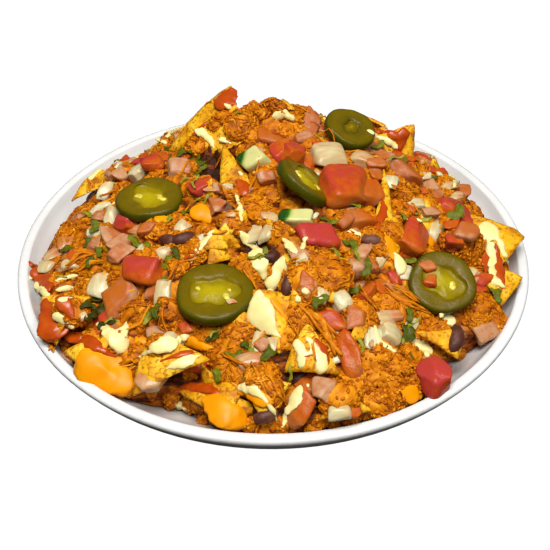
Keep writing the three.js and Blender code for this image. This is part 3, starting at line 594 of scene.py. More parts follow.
    # Boiled kidney and black beans: a taut dark skin
    made["bean"] = food_material(
        "boiled_bean",
        [(0.0, "#2C1008"), (0.5, "#4E281C"), (1.0, "#765040")],
        (0.3, 0.3, 0.3),
        {"Roughness": 0.45, "Specular IOR Level": 0.2},
        (0.4, 0.5),
    )
    # Fresh coriander, chopped: thin ruffled leaf and stalk
    made["leaf"] = food_material(
        "coriander_leaf",
        [(0.0, "#2A2604"), (0.3, "#424804"), (0.55, "#5C6208"), (0.8, "#7A7A1A"), (1.0, "#9E923C")],
        (0.5, 0.5, 0.5),
        {"Roughness": 0.4, "Specular IOR Level": 0.12},
        (0.4, 0.4),
        0.7,
    )
    return made


def chip_material():
    """Fried corn tortilla: golden, speckled with darker corn, toasted at the edges and on the blisters."""
    material, tree, output = new_material("fried_corn_tortilla")
    place = add_node(tree, "ShaderNodeTexCoord")
    tint = add_node(tree, "ShaderNodeAttribute", {"attribute_name": "tint"})
    # One metre holds 1000 mm, so a scale of 120 is a patch of about 8 mm and 700 a speck of about 1.4 mm
    own = {"Vector": place.outputs["Object"]}
    patch = add_node(tree, "ShaderNodeTexNoise", {"Scale": 120.0, "Detail": 3.0}, own)
    speck = add_node(tree, "ShaderNodeTexNoise", {"Scale": 700.0, "Detail": 2.0}, own)
    golden = add_node(
        tree, "ShaderNodeValToRGB",
        {"stops": [(0.28, "#A05C06"), (0.4, "#CE8A08"), (0.53, "#E2A60E"), (0.72, "#F2C23C")]},
        {0: patch.outputs["Fac"]},
    )
    specks = add_node(
        tree, "ShaderNodeMapRange", {"From Min": 0.52, "From Max": 0.64, "To Min": 0.0, "To Max": 0.75},
        {"Value": speck.outputs["Fac"]},
    )
    speckled = add_node(
        tree, "ShaderNodeMix", {"data_type": "RGBA", 7: linear("#8E4A08")},
        {0: specks.outputs[0], 6: golden.outputs[0]},
    )
    toast = add_node(
        tree, "ShaderNodeMapRange", {"From Min": 0.4, "From Max": 1.0, "To Min": 0.0, "To Max": 0.5},
        {"Value": tint.outputs["Fac"]},
    )
    toasted = add_node(
        tree, "ShaderNodeMix", {"data_type": "RGBA", 7: linear("#9A5408")},
        {0: toast.outputs[0], 6: speckled.outputs[2]},
    )
    blister = add_node(tree, "ShaderNodeTexNoise", {"Scale": 520.0, "Detail": 5.0}, own)
    bump = add_node(
        tree, "ShaderNodeBump", {"Strength": 0.9, "Distance": 1.0 * MM}, {"Height": blister.outputs["Fac"]}
    )
    shader = add_node(
        tree, "ShaderNodeBsdfPrincipled",
        {"Roughness": 0.5, "Specular IOR Level": 0.22},
        {"Base Color": toasted.outputs[2], "Normal": bump.outputs[0]},
    )
    tree.links.new(shader.outputs[0], output.inputs["Surface"])
    return material


def edge_radius(angle):
    """The heap's radius at an angle."""
    degrees = np.degrees(angle)
    radius = np.full_like(degrees, HEAP_RADIUS, dtype=float)
    for centre, depth, width in NOTCHES:
        turn = (degrees - centre + 540) % 360 - 180
        radius = radius - depth * np.exp(-((turn / width) ** 2))
    return radius


def heap_height(x, y):
    """The height of the heap's bare core."""
    x, y = np.asarray(x, dtype=float), np.asarray(y, dtype=float)
    edge = edge_radius(np.arctan2(y, x))
    reach = np.hypot(x, y - SUMMIT_Y) + 1e-6
    along = SUMMIT_Y * (y - SUMMIT_Y) / reach
    length = -along + np.sqrt(along**2 - SUMMIT_Y**2 + edge**2)
    inside = np.clip(1 - (reach / length) ** 2, 0, None)
    height = HEAP_EDGE_Z + (HEAP_TOP_Z - HEAP_EDGE_Z) * inside
    for swell_x, swell_y, rise, radius in SWELLS:
        height = height + rise * np.exp(-((x - swell_x) ** 2 + (y - swell_y) ** 2) / radius**2)
    clumps = np.sin(x / 5.3 + 1.1) * np.cos(y / 6.1 - 0.4) + np.sin((x + y) / 7.9)
    return height + CLUMP_RELIEF * clumps * np.minimum(1, inside * 4)


def heap_normal(x, y):
    """The heap's smoothed normal."""
    step = 3
    slope_x = (heap_height(x + step, y) - heap_height(x - step, y)) / (2 * step)
    slope_y = (heap_height(x, y + step) - heap_height(x, y - step)) / (2 * step)
    return Vector((-float(slope_x), -float(slope_y), 1)).normalized()


def wall_height(radius):
    """The height of the bowl's inner face."""
    return np.interp(radius, [r for r, _ in INNER_FACE], [z for _, z in INNER_FACE])


def set_upright(point, up, turn=0.0, lift=0.0):
    """A place with +Z along up, turned about it and lifted."""
    lean = Vector((0, 0, 1)).rotation_difference(Vector(up).normalized())
    spin = Quaternion((0, 0, 1), math.radians(turn))
    matrix = (lean @ spin).to_matrix().to_4x4()
    matrix.translation = Vector(point) + Vector(up).normalized() * lift
    return np.array(matrix)


def on_heap(place, turn=0.0, lift=0.0, normal=None):
    """A place on the bare heap, upright along the given normal or the heap's own."""
    x, y = place
    up = Vector(normal) if normal else heap_normal(x, y)
    return set_upright((x, y, float(heap_height(x, y))), up, turn, lift)


def camera_axes():
    """The camera's right, up and forward directions."""
    yaw, drop, roll = (math.radians(a) for a in (CAMERA_YAW, CAMERA_DROP, CAMERA_ROLL))
    forward = Vector((math.sin(yaw) * math.cos(drop), math.cos(yaw) * math.cos(drop), -math.sin(drop)))
    right = forward.cross(Vector((0, 0, 1))).normalized()
    up = right.cross(forward)
    turned_right = right * math.cos(roll) + up * math.sin(roll)
    turned_up = up * math.cos(roll) - right * math.sin(roll)
    return turned_right, turned_up, forward


def sight(px, py):
    """The direction in which the camera sees a pixel."""
    right, up, forward = camera_axes()
    half = FRAME_PIXELS / 2
    return (forward * FOCAL_PIXELS + right * (px - half) - up * (py - half)).normalized()


def relief_at(points, scale, seed=0.0):
    """Smooth noise between -1 and 1 at each point, for bumps of about the given size."""
    shift = Vector((seed, seed * 0.7, -seed))
    return np.array([noise.noise(Vector(p) / scale + shift) for p in points])


class Ground:
    """The surface that later pieces are laid on: every piece made so far."""

    def __init__(self):
        self.points = []
        self.faces = []
        self.kinds = []
        self.tree = None

    def add(self, points, faces, kind):
        start = len(self.points)
        self.points.extend(map(tuple, points))
        self.faces.extend([[i + start for i in face] for face in faces])
        self.kinds.extend([kind] * len(faces))
        self.tree = None

    def cast(self, start, direction):
        """Where a line first meets the surface: point, normal, kind of piece and distance."""
        if self.tree is None:
            self.tree = BVHTree.FromPolygons(self.points, self.faces)
        point, normal, index, distance = self.tree.ray_cast(Vector(start), Vector(direction))
        if point is None:
            return None
        if normal.dot(Vector(direction)) > 0:
            normal = -normal
        return point, normal, self.kinds[index], distance

    def from_above(self, x, y):
        return self.cast((x, y, 150), (0, 0, -1))

    def from_camera(self, px, py):
        return self.cast(CAMERA_PLACE, sight(px, py))


GROUND = Ground()


class Batch:
    """Points and faces of like pieces, gathered into one mesh, with each one's own coordinates and tint."""

    def __init__(self):
        self.points = []
        self.faces = []
        self.local = []
        self.tint = []
        self.count = 0

    def add(self, points, faces, matrix=None, tint=0.5, local=None):
        points = np.asarray(points, dtype=float)
        placed = points if matrix is None else points @ matrix[:3, :3].T + matrix[:3, 3]
        self.points.append(placed)
        self.local.append(points if local is None else local)
        self.tint.append(np.broadcast_to(np.asarray(tint, dtype=float), (len(points),)))
        self.faces.extend([[i + self.count for i in face] for face in faces])
        self.count += len(points)
        return placed

    def piece(self, name, material, slot, replaces=None):
        """The gathered mesh as one piece of the scene."""
        mesh = bpy.data.meshes.new(name)
        points = np.concatenate(self.points)
        mesh.from_pydata((points * MM).tolist(), [], self.faces)
        place = mesh.attributes.new("local", "FLOAT_VECTOR", "POINT")
        place.data.foreach_set("vector", np.concatenate(self.local).astype(np.float32).ravel())
        tint = mesh.attributes.new("tint", "FLOAT", "POINT")
        tint.data.foreach_set("value", np.concatenate(self.tint).astype(np.float32))
        mesh.polygons.foreach_set("use_smooth", [True] * len(mesh.polygons))
        mesh.update()
        piece = bpy.data.objects.new(name, mesh)
        bpy.context.scene.collection.objects.link(piece)
        return finish_piece(piece, material, replaces)


def lay_piece(name, points, faces, matrix, tint, food, replaces):
    """A large piece in its solid's place, which later pieces then lie on."""
    material, slot, kind = food
    batch = Batch()
    placed = batch.add(points, faces, matrix, tint)
    batch.piece(name, material, slot, replaces)
    GROUND.add(placed, faces, kind)


def finish_piece(piece, material, replaces=None):
    """Give a piece its material and its body."""
    piece.data.materials.clear()
    piece.data.materials.append(MATERIALS[material])
    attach(piece, "root")
    if replaces:
        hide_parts(replaces)
    return piece


def deselect_all():
    """Leave edit mode, with nothing selected."""
    if bpy.context.mode != "OBJECT":
        bpy.ops.object.mode_set(mode="OBJECT")
    bpy.ops.object.select_all(action="DESELECT")


def taken_apart(shape):
    """The points and faces of a modelled shape, which is then removed."""
    points = np.array([v.co for v in shape.data.vertices], dtype=float)
    faces = [list(p.vertices) for p in shape.data.polygons]
    bpy.data.objects.remove(shape, do_unlink=True)
    return points, faces


def model_block(cuts):
    """A cube with each face cut into a grid, as a start for diced pieces."""
    deselect_all()
    bpy.ops.mesh.primitive_cube_add(size=2)
    bpy.ops.object.mode_set(mode="EDIT")
    bpy.ops.mesh.select_all(action="SELECT")
    bpy.ops.mesh.subdivide(number_cuts=cuts)
    bpy.ops.object.mode_set(mode="OBJECT")
    return taken_apart(bpy.context.object)


def model_ball(segments, rings):
    """A ball, as a start for beans, seeds and clumps."""
    deselect_all()
    bpy.ops.mesh.primitive_uv_sphere_add(segments=segments, ring_count=rings, radius=1)
    return taken_apart(bpy.context.object)


def model_crumb():
    """A ball of few faces, as a start for crumbs."""
    deselect_all()
    bpy.ops.mesh.primitive_ico_sphere_add(subdivisions=1, radius=1)
    return taken_apart(bpy.context.object)


def model_drop():
    """A ball of even faces, as a start for drops of sauce."""
    deselect_all()
    bpy.ops.mesh.primitive_ico_sphere_add(subdivisions=2, radius=1)
    return taken_apart(bpy.context.object)


def shape_chunk(block, size, phase, relief=0.5, grain=4.0, power=4):
    """A diced piece: a block with rounded edges, a little skewed, with an uneven surface."""
    points = block / np.linalg.norm(block, axis=1, keepdims=True)
    norm = (np.abs(points) ** power).sum(axis=1) ** (1 / power)
    skew = 1 + 0.12 * np.sin(points @ np.array([2.1, 1.7, 1.3]) + phase)
    shaped = points / norm[:, None] * (np.array(size) / 2) * skew[:, None]
    bumps = relief_at(shaped, grain, phase * 3.1) + 0.4 * relief_at(shaped, grain * 0.4, phase)
    return shaped + points * (bumps * relief)[:, None]


def warp_corners(shape, size, draw, amount):
    """Shift a piece's eight corners at random, and let what lies between them follow."""
    share = shape / np.array(size)
    moved = shape.copy()
    for corner in itertools.product((-1, 1), repeat=3):
        weight = np.prod(0.5 + share * np.array(corner), axis=1)
        shift = np.array([draw.uniform(-amount, amount) for _ in range(3)]) * np.array(size)
        moved += weight[:, None] * shift
    return moved


def cut_facets(points, count, draw, depth=(0.62, 0.85)):
    """Flatten a shape where a knife has cut it: points past each cutting plane are put back on it."""
    half = np.abs(points).max(axis=0)
    for _ in range(count):
        away = np.array([draw.gauss(0, 1), draw.gauss(0, 1), draw.gauss(0.2, 0.8)])
        away /= np.linalg.norm(away)
        limit = draw.uniform(*depth) * float(np.linalg.norm(half * away))
        past = np.clip(points @ away - limit, 0, None)
        points = points - past[:, None] * away
    return points


def shape_layer(block, size, bend, phase, relief=0.25):
    """A piece of an onion's layer: a thin block bent to an arc."""
    rounded = block / ((np.abs(block) ** 6).sum(axis=1) ** (1 / 6))[:, None]
    shaped = rounded * (np.array(size) / 2)
    shaped[:, 2] -= bend * (shaped[:, 0] / (size[0] / 2)) ** 2
    shaped[:, 2] -= bend * 0.4 * (shaped[:, 1] / (size[1] / 2)) ** 2
    shaped += np.outer(relief_at(shaped, 3.0, phase), (0.3, 0.3, 1.0)) * relief
    return shaped


def curve_point(before, start, end, after, share):
    """A point on the smooth curve from one mark of a profile to the next."""
    return [
        0.5 * (
            2 * start[k]
            + (end[k] - before[k]) * share
            + (2 * before[k] - 5 * start[k] + 4 * end[k] - after[k]) * share**2
            + (3 * start[k] - before[k] - 3 * end[k] + after[k]) * share**3
        )
        for k in (0, 1)
    ]


def build_bowl(settings):
    """The bowl, spun from its profile in one smooth turn."""
    profile = INNER_FACE + OUTER_FACE + FOOT_FACE
    smooth = []
    for index in range(len(profile) - 1):
        before = profile[max(0, index - 1)]
        start, end = profile[index], profile[index + 1]
        after = profile[min(len(profile) - 1, index + 2)]
        is_plain = index >= len(INNER_FACE) + len(OUTER_FACE) - 1 or index == 0
        for step in range(1 if is_plain else PROFILE_STEPS):
            smooth.append(curve_point(before, start, end, after, step / PROFILE_STEPS))
    smooth.append(list(profile[-1]))
    deselect_all()
    mesh = bpy.data.meshes.new("bowl_profile")
    mesh.from_pydata(
        [(r * MM, 0, z * MM) for r, z in smooth], [(i, i + 1) for i in range(len(smooth) - 1)], []
    )
    bowl = bpy.data.objects.new("glazed_bowl", mesh)
    bpy.context.scene.collection.objects.link(bowl)
    bpy.context.view_layer.objects.active = bowl
    bowl.select_set(True)
    bpy.ops.object.mode_set(mode="EDIT")
    bpy.ops.mesh.select_all(action="SELECT")
    bpy.ops.mesh.spin(steps=settings.steps, angle=math.tau, center=(0, 0, 0), axis=(0, 0, 1))
    bpy.ops.mesh.select_all(action="SELECT")
    bpy.ops.mesh.remove_doubles(threshold=0.00001)
    bpy.ops.mesh.normals_make_consistent(inside=False)
    bpy.ops.object.mode_set(mode="OBJECT")
    bpy.ops.object.shade_smooth_by_angle(angle=math.radians(40))
    finish_piece(bowl, "bowl", "plate")
    points = np.array([v.co for v in mesh.vertices]) / MM
    GROUND.add(points, [list(p.vertices) for p in mesh.polygons], "bowl")


def revolve(rows):
    """Points and faces of rings that each have the same number of points, closed by a point at both ends."""
    count = len(rows[0])
    points = [np.mean(rows[0], axis=0)]
    points.extend(p for row in rows for p in row)
    points.append(np.mean(rows[-1], axis=0))
    faces = []
    last = len(points) - 1
    for i in range(count):
        j = (i + 1) % count
        faces.append([0, 1 + j, 1 + i])
        for row in range(len(rows) - 1):
            low, high = 1 + row * count, 1 + (row + 1) * count
            faces.append([low + i, low + j, high + j, high + i])
        start = 1 + (len(rows) - 1) * count
        faces.append([start + i, start + j, last])
    return np.array(points), faces


def meat_clumps(x, y, spacing, seed):
    """For each place: the way to its clump's middle, how near its edge is, and its own draw."""
    draw = np.random.default_rng(seed)
    side = np.arange(-120, 120, spacing)
    centre_x, centre_y = (grid.ravel() for grid in np.meshgrid(side, side))
    centre_x = centre_x + draw.uniform(-0.45, 0.45, centre_x.size) * spacing
    centre_y = centre_y + draw.uniform(-0.45, 0.45, centre_y.size) * spacing
    turn = draw.uniform(0, math.pi, centre_x.size)
    tree = KDTree(centre_x.size)
    for index, centre in enumerate(zip(centre_x, centre_y)):
        tree.insert((*centre, 0), index)
    tree.balance()
    nearest, edge = np.empty(x.size, dtype=int), np.empty(x.size)
    for index, (px, py) in enumerate(zip(x, y)):
        (_, first, near), (_, _, far) = tree.find_n((px, py, 0), 2)
        nearest[index], edge[index] = first, far - near
    dx, dy = x - centre_x[nearest], y - centre_y[nearest]
    across = -dx * np.sin(turn[nearest]) + dy * np.cos(turn[nearest])
    along = dx * np.cos(turn[nearest]) + dy * np.sin(turn[nearest])
    return along, across, edge, turn[nearest] / math.pi


def build_core():
    """The heap's core: the form of its solid, with matted clumps of pulled meat, down to the bowl."""
    count, rings = 460, 150
    angles = np.linspace(0, math.tau, count, endpoint=False)
    edge = edge_radius(angles)
    under = []
    for share in (0.5, 0.82, 0.92, 0.985):
        radius = edge * share
        low = wall_height(radius) + 0.8
        under.append(np.column_stack([radius * np.cos(angles), radius * np.sin(angles), low]))
    foot = under[-1][:, 2]
    for rise in np.linspace(0, 1, CLIFF_ROWS + 2)[1:-1]:
        level = foot + (HEAP_EDGE_Z - foot) * rise
        ring = np.column_stack([edge * np.cos(angles), edge * np.sin(angles), level])
        inward = 1.6 * relief_at(ring, 5.0, 4.0) + 0.8 * relief_at(ring, 1.8, 1.0) - 1.0
        radius = edge * (0.985 + 0.015 * rise) + inward * math.sin(math.pi * rise)
        under.append(np.column_stack([radius * np.cos(angles), radius * np.sin(angles), ring[:, 2]]))
    shares = np.repeat(np.arange(rings, 0, -1) / rings, count)
    around = np.tile(angles, rings)
    radius = np.tile(edge, rings) * shares
    x, y = radius * np.cos(around), radius * np.sin(around)
    plan = np.column_stack([x, y, np.zeros_like(x)])
    bend_x, bend_y = relief_at(plan, 7.0, 2.0) * 2.2, relief_at(plan, 7.0, 6.0) * 2.2
    along, across, border, own = meat_clumps(x + bend_x, y + bend_y, CLUMP_SPACING, SEED)
    wobble = relief_at(np.column_stack([along / 2.4, across, own * 40]), 1.6)
    fibre = np.abs(np.sin(across * math.pi / FIBRE_SPACING + 1.6 * wobble))
    crease = np.clip(border / 3.0, 0, 1)
    crumb = relief_at(plan, 1.7, 3.0)
    swells = 1.2 * relief_at(plan, 9.0, 8.0)
    relief = 1.7 * np.sqrt(crease) + 0.75 * fibre * crease + 0.55 * crumb + swells - 2.2
    fade = np.clip((1 - shares) * 28, 0, 1)
    height = heap_height(x, y) + relief * fade
    rows = np.column_stack([x, y, height]).reshape(rings, count, 3)
    points, faces = revolve([*under, *rows])
    # Painted shade: the core's tint follows its relief. It is darker in the creases between clumps and in the grooves
    # between fibres, and held low overall so the gaps between the clumps laid on it read as shade
    tint = 0.12 + 0.34 * crease + 0.26 * fibre * crease + 0.2 * crumb + 0.25 * (own - 0.5)
    # Painted shade: the heap's steep side down to the bowl gets a dark tint, with lumps a little lighter and darker
    steep = np.clip((shares - STEEP_FROM) / 0.05, 0, 1)
    lumps = relief_at(np.column_stack([x, y, height]), 3.0, 5.0)
    tint = tint * (1 - steep) + (0.2 + 0.3 * lumps) * steep
    # Painted shade: the core's tint darkens towards the middle of each deep gap between the chips
    for hollow_x, hollow_y, hollow_radius in DARK_HOLLOWS:
        near = np.exp(-((x - hollow_x) ** 2 + (y - hollow_y) ** 2) / hollow_radius**2)
        tint = tint * (1 - near) ** 2
    # Painted shade: the rings under the heap and on its cliff down to the bowl get a dark tint
    below = np.concatenate(under)
    dim = 0.22 + 0.3 * relief_at(below, 2.4, 7.0) + 0.2 * relief_at(below, 1.1, 2.0)
    tint = np.concatenate([[0.1], np.clip(dim, 0.02, 1), np.clip(tint, 0, 1), [0.4]])
    batch = Batch()
    batch.add(points, faces, tint=tint)
    batch.piece("heap_core", "chicken", "shredded_chicken", "nacho_heap")
    GROUND.add(points, faces, "core")


def build_jalapenos():
    """Pickled slices: a thick ring of flesh under its skin, seed chambers, and a raised middle."""
    count = 60
    angles = np.linspace(0, math.tau, count, endpoint=False)
    seeds = Batch()
    ball, ball_faces = model_ball(8, 6)
    draw = random.Random(SEED)
    # Share of the radius, height and tint, from under the slice over its skin to its middle
    underside = [(0.45, -1, 0.5), (0.82, -1, 0.8), (0.94, -0.8, 1.0)]
    skin = [(0.99, -0.45, 1.0), (1, 0.0, 1.0), (0.99, 0.45, 0.98), (0.965, 0.75, 0.9), (0.93, 0.92, 0.74)]
    flesh = [(0.88, 1.0, 0.64), (0.8, 1.02, 0.58), (0.7, 1.0, 0.53), (0.61, 0.96, 0.48), (0.56, 0.86, 0.42)]
    chamber_wall = [(0.53, 0.66, 0.36), (0.5, 0.5, 0.3), (0.44, 0.44, 0.24), (0.36, 0.5, 0.18)]
    middle = [(0.27, 0.66, 0.12), (0.18, 0.76, 0.08), (0.09, 0.8, 0.06)]
    profile = underside + skin + flesh + chamber_wall + middle
    for index, (name, place, diameter, lift, normal) in enumerate(JALAPENOS):
        radius = diameter / 2
        lobes = 1 + 0.025 * np.cos(3 * angles + index) + 0.012 * np.cos(5 * angles + 2 * index)
        chamber = 1 + 0.2 * np.cos(2 * angles + index) + 0.08 * np.cos(5 * angles + index)
        wall = np.exp(-((np.sin(angles + index * 1.3)) / 0.35) ** 2)
        rows, tints = [], []
        for share, height, tint in profile:
            inner = np.clip((0.66 - share) / 0.1, 0, 1) if height > 0 else 0.0
            level = np.full(count, float(height))
            if share < 0.55 and height > 0:
                level = level + wall * (0.8 - height) * 0.8
            ring = share * (lobes * (1 - inner) + chamber * CHAMBERS[index][0] * inner)
            rows.append(np.column_stack([
                ring * radius * np.cos(angles), 0.95 * ring * radius * np.sin(angles), level * SLICE_HALF
            ]))
            tints.extend([tint + CHAMBERS[index][1] * inner] * count)
        points, faces = revolve(rows)
        points[:, 2] += relief_at(points, 3.5, index * 5.0) * 0.4
        tint = np.array([0.5, *tints, 0.05])
        matrix = on_heap(place, 0, lift, normal)
        lay_piece(name + "_slice", points, faces, matrix, tint, ("jalapeno", "jalapeno", "jalapeno"), name)
        for side in (0, math.pi):
            for _ in range(4 if CHAMBERS[index][0] > 0.8 else 0):
                angle = side + SEED_TURN + draw.gauss(0, 0.3)
                reach = draw.uniform(0.26, 0.44) * radius
                level = SLICE_HALF * 0.55
                spot = matrix @ np.array([reach * math.cos(angle), reach * math.sin(angle), level, 1])
                lay = set_upright(spot[:3], matrix[:3, 2], draw.uniform(0, 360))
                seeds.add(ball * np.array([1.5, 1.1, 0.7]), ball_faces, lay, draw.uniform(0.2, 1))
    seeds.piece("jalapeno_seeds", "seed", "jalapeno")


def build_chunks():
    """Large dice of tomato, onion, cucumber and green pepper, each in its solid's place."""
    block, faces = model_block(11)
    draw = random.Random(SEED + 8)
    for index, (name, place, size, turn, tint) in enumerate(TOMATOES):
        shape = shape_chunk(block, size, index, 0.6, 5.0, 4.5)
        points = cut_facets(warp_corners(shape, size, draw, 0.1), 4, draw, (0.72, 0.9))
        matrix = on_heap(place, turn, size[2] * 0.25)
        streak = relief_at(points * np.array([1, 0.5, 1]), 3.0, index * 2.0)
        spin = math.radians(-turn)
        down = np.array([math.sin(spin) * -0.7 + 0.3, -0.7 * math.cos(spin), -0.6])
        flesh = np.tanh(points / (np.array(size) / 2) @ down * 1.6) * STRONG_FADES.get(name, 1)
        shade = np.clip(tint + FLESH_FADE * flesh + STREAK_SHARE * streak, 0, 1)
        lay_piece(name + "_dice", points, faces, matrix, shade, ("tomato", "tomato", "tomato"), name)
    for index, (name, place, size, turn, lift, tint) in enumerate(ONIONS):
        points = cut_facets(shape_layer(block, size, ONION_BEND, index * 2.3), 3, draw, (0.75, 0.92))
        matrix = on_heap(place, turn, lift)
        lay_piece(name + "_layer", points, faces, matrix, tint, ("onion", "onion", "onion"), name)
    for index, (name, place, size, turn, lift) in enumerate(GREENS):
        points = shape_chunk(block, size, index + 2, 0.25, 5.0, 6)
        matrix = on_heap(place, turn, lift)
        placed = points @ matrix[:3, :3].T + matrix[:3, 3]
        away = (placed - placed.mean(axis=0)) @ np.array([-0.75, 0.1, 0.3 if index == 0 else 0.9])
        skin = np.clip((away / np.abs(away).max() - 0.45) * 4, 0, 1)
        shade = 0.15 + 0.85 * skin
        lay_piece(name + "_cut", points, faces, matrix, shade, ("cucumber", "cucumber", "green"), name)


def shape_chip(corners, bulge, phase, steps=CHIP_STEPS, thickness=CHIP_THICKNESS):
    """A chip between three corners: a domed triangle with rounded tips, wavy edges and blisters."""
    a, b, c = (np.array(corner, dtype=float) for corner in corners)
    normal = np.cross(b - a, c - a)
    normal /= np.linalg.norm(normal)
    facing = -1 if normal[1] * -0.6 + normal[2] * 0.8 < 0 else 1
    normal = normal * facing
    middle = (a + b + c) / 3
    shares, index_of = [], {}
    for i in range(steps + 1):
        for j in range(steps - i + 1):
            index_of[i, j] = len(shares)
            shares.append([(steps - i - j) / steps, i / steps, j / steps])
    shares = np.array(shares)
    flat = shares @ np.array([a, b, c])
    tip = np.clip((shares.max(axis=1) - 0.82) / 0.18, 0, 1)
    flat += (middle - flat) * (0.045 * tip**2)[:, None]
    border = np.clip(shares.min(axis=1) * steps / 2.0, 0, 1)
    waves = relief_at(flat, 9.0, phase) * 0.9 + relief_at(flat, 3.0, phase + 4) * 0.35
    outward = flat - middle
    outward /= np.linalg.norm(outward, axis=1, keepdims=True) + 1e-6
    flat += outward * (waves * (1 - border))[:, None]
    dome = 1 - ((shares**2).sum(axis=1) - 1 / 3) * 1.5
    blister = relief_at(flat, 8.0, phase + 8) * 1.0 + relief_at(flat, 3.5, phase) * 0.3
    lift = bulge * dome + blister
    half = thickness / 2 * (0.25 + 0.75 * np.sqrt(border))
    top = flat + normal * (lift + half)[:, None]
    low = flat + normal * (lift - half)[:, None]
    count = len(shares)
    faces = []
    for i in range(steps):
        for j in range(steps - i):
            triangles = [[index_of[i, j], index_of[i + 1, j], index_of[i, j + 1]]]
            if i + j < steps - 1:
                triangles.append([index_of[i + 1, j], index_of[i + 1, j + 1], index_of[i, j + 1]])
            for triangle in triangles:
                under = [k + count for k in triangle]
                faces.append(triangle if facing > 0 else triangle[::-1])
                faces.append(under[::-1] if facing > 0 else under)
    rim = [(k, 0) for k in range(steps)]
    rim += [(steps - k, k) for k in range(steps)]
    rim += [(0, steps - k) for k in range(steps)]
    for k, key in enumerate(rim):
        start, end = index_of[key], index_of[rim[(k + 1) % len(rim)]]
        side = [start + count, end + count, end, start]
        faces.append(side if facing > 0 else side[::-1])
    tint = np.concatenate([1 - border, 1 - border]) * 0.35 + 0.6 * np.clip(np.tile(blister, 2), 0, 1)
    return np.concatenate([top, low]), faces, np.clip(tint, 0, 1)


def build_chips(settings):
    """Tortilla chips, each in its solid's place, and loose corners between the toppings."""
    for index, (name, bulge, *corners) in enumerate(CHIPS):
        points, faces, tint = shape_chip(corners, bulge, index * 3.3)
        lay_piece(name + "_fried", points, faces, None, tint, ("chip", "tortilla_chip", "chip"), name)
    draw = random.Random(SEED + 1)
    batch = Batch()
    placed = []
    spots = [(GROUND.from_camera(px, py), size, turn, tilt) for px, py, size, turn, tilt in CORNER_SPOTS]
    for _ in range(settings.corners):
        angle, reach = draw.uniform(0, math.tau), math.sqrt(draw.uniform(0.05, 0.9)) * 96
        hit = GROUND.from_above(reach * math.cos(angle), reach * math.sin(angle))
        spots.append((hit, draw.uniform(11, 17), draw.uniform(0, 360), draw.uniform(35, 75)))
    for hit, size, turn, tilt in spots:
        if hit is None or hit[2] != "core":
            continue
        point, normal, _, _ = hit
        away = Vector((point.x, point.y, 0)).normalized() * 0.5 + Vector((0, -0.4, 0))
        lean = (normal * math.cos(math.radians(tilt)) + away * math.sin(math.radians(tilt))).normalized()
        matrix = set_upright(point, lean, turn, 0.6)
        local = [(0, 0.6, 0), (-0.5, -0.4, 0), (0.5, draw.uniform(-0.5, -0.2), 0)]
        local = [np.array(corner) * size for corner in local]
        corners = [(matrix @ np.array([*p, 1]))[:3] for p in local]
        if min(p[2] for p in corners) < wall_height(math.hypot(*corners[0][:2])) - 2:
            continue
        if max(math.hypot(p[0], p[1]) for p in corners) > 108:
            continue
        points, faces, tint = shape_chip(corners, 1.0, draw.uniform(0, 90), steps=9, thickness=1.6)
        batch.add(points, faces, None, tint)
        placed.append((points, faces))
    batch.piece("chip_corners", "chip", "tortilla_chip")
    for points, faces in placed:
        GROUND.add(points, faces, "chip")


def clump_relief(directions, radius, phase):
    """How far a clump's skin stands out of its plain ellipsoid, as a share of its radius."""
    away = directions * radius
    return (
        0.16 * relief_at(away, radius * 0.7, phase)
        + 0.09 * relief_at(away, 2.4, phase + 3)
        + 0.05 * relief_at(away, 1.2, phase + 7)
    )


def clump_places(draw):
    """Where clumps of meat lie: those that the camera sees, then more over the whole heap."""
    places = []
    for px, py, radius in MEAT_SPOTS:
        hit = GROUND.from_camera(px, py)
        if hit and hit[2] in ("core", "chip") and not covers_slice(hit[0], radius * 0.3):
            up = heap_normal(hit[0].x, hit[0].y) if hit[2] == "core" else hit[1]
            places.append((hit[0], up, radius))
    for _ in range(CLUMP_TRIES):
        angle, reach = draw.uniform(0, math.tau), math.sqrt(draw.random()) * 100
        x, y, radius = reach * math.cos(angle), reach * math.sin(angle), draw.uniform(4.5, 8.5)
        hit = GROUND.from_above(x, y)
        if hit is None or hit[2] != "core" or is_hollow(x, y):
            continue
        if reach > float(edge_radius(np.array(angle))) - radius * 0.7:
            continue
        if any(math.hypot(x - point.x, y - point.y) < 0.62 * (radius + other) for point, _, other in places):
            continue
        if covers_slice(hit[0], radius):
            continue
        places.append((hit[0], heap_normal(x, y), radius))
    for _ in range(EDGE_CLUMPS):
        angle, radius = draw.uniform(0, math.tau), draw.uniform(*EDGE_CLUMP_RADII)
        reach = float(edge_radius(np.array(angle))) - 0.6
        low, high = float(wall_height(reach)) + 0.8 * radius, HEAP_EDGE_Z
        if low > high:
            continue
        point = Vector((reach * math.cos(angle), reach * math.sin(angle), draw.uniform(low, high)))
        places.append((point, Vector((math.cos(angle), math.sin(angle), 0.5)), radius))
    return places


def covers_slice(point, radius):
    """Whether a clump of meat there would lie over a slice of jalapeno."""
    for _, (x, y), diameter, lift, _ in JALAPENOS:
        middle = Vector((x, y, float(heap_height(x, y)) + lift))
        if (point - middle).length < diameter / 2 + 0.45 * radius:
            return True
    return False


def is_hollow(x, y):
    """Whether a plan place lies in one of the dark gaps between the chips."""
    return any(math.hypot(x - hx, y - hy) < radius for hx, hy, radius in DARK_HOLLOWS)


def thread_faces(sides, rings):
    """Faces of a closed tube of rings."""
    faces = []
    for ring in range(rings - 1):
        for k in range(sides):
            n = (k + 1) % sides
            low, high = ring * sides, (ring + 1) * sides
            faces.append([low + k, low + n, high + n, high + k])
    faces.append(list(reversed(range(sides))))
    faces.append([(rings - 1) * sides + k for k in range(sides)])
    return faces


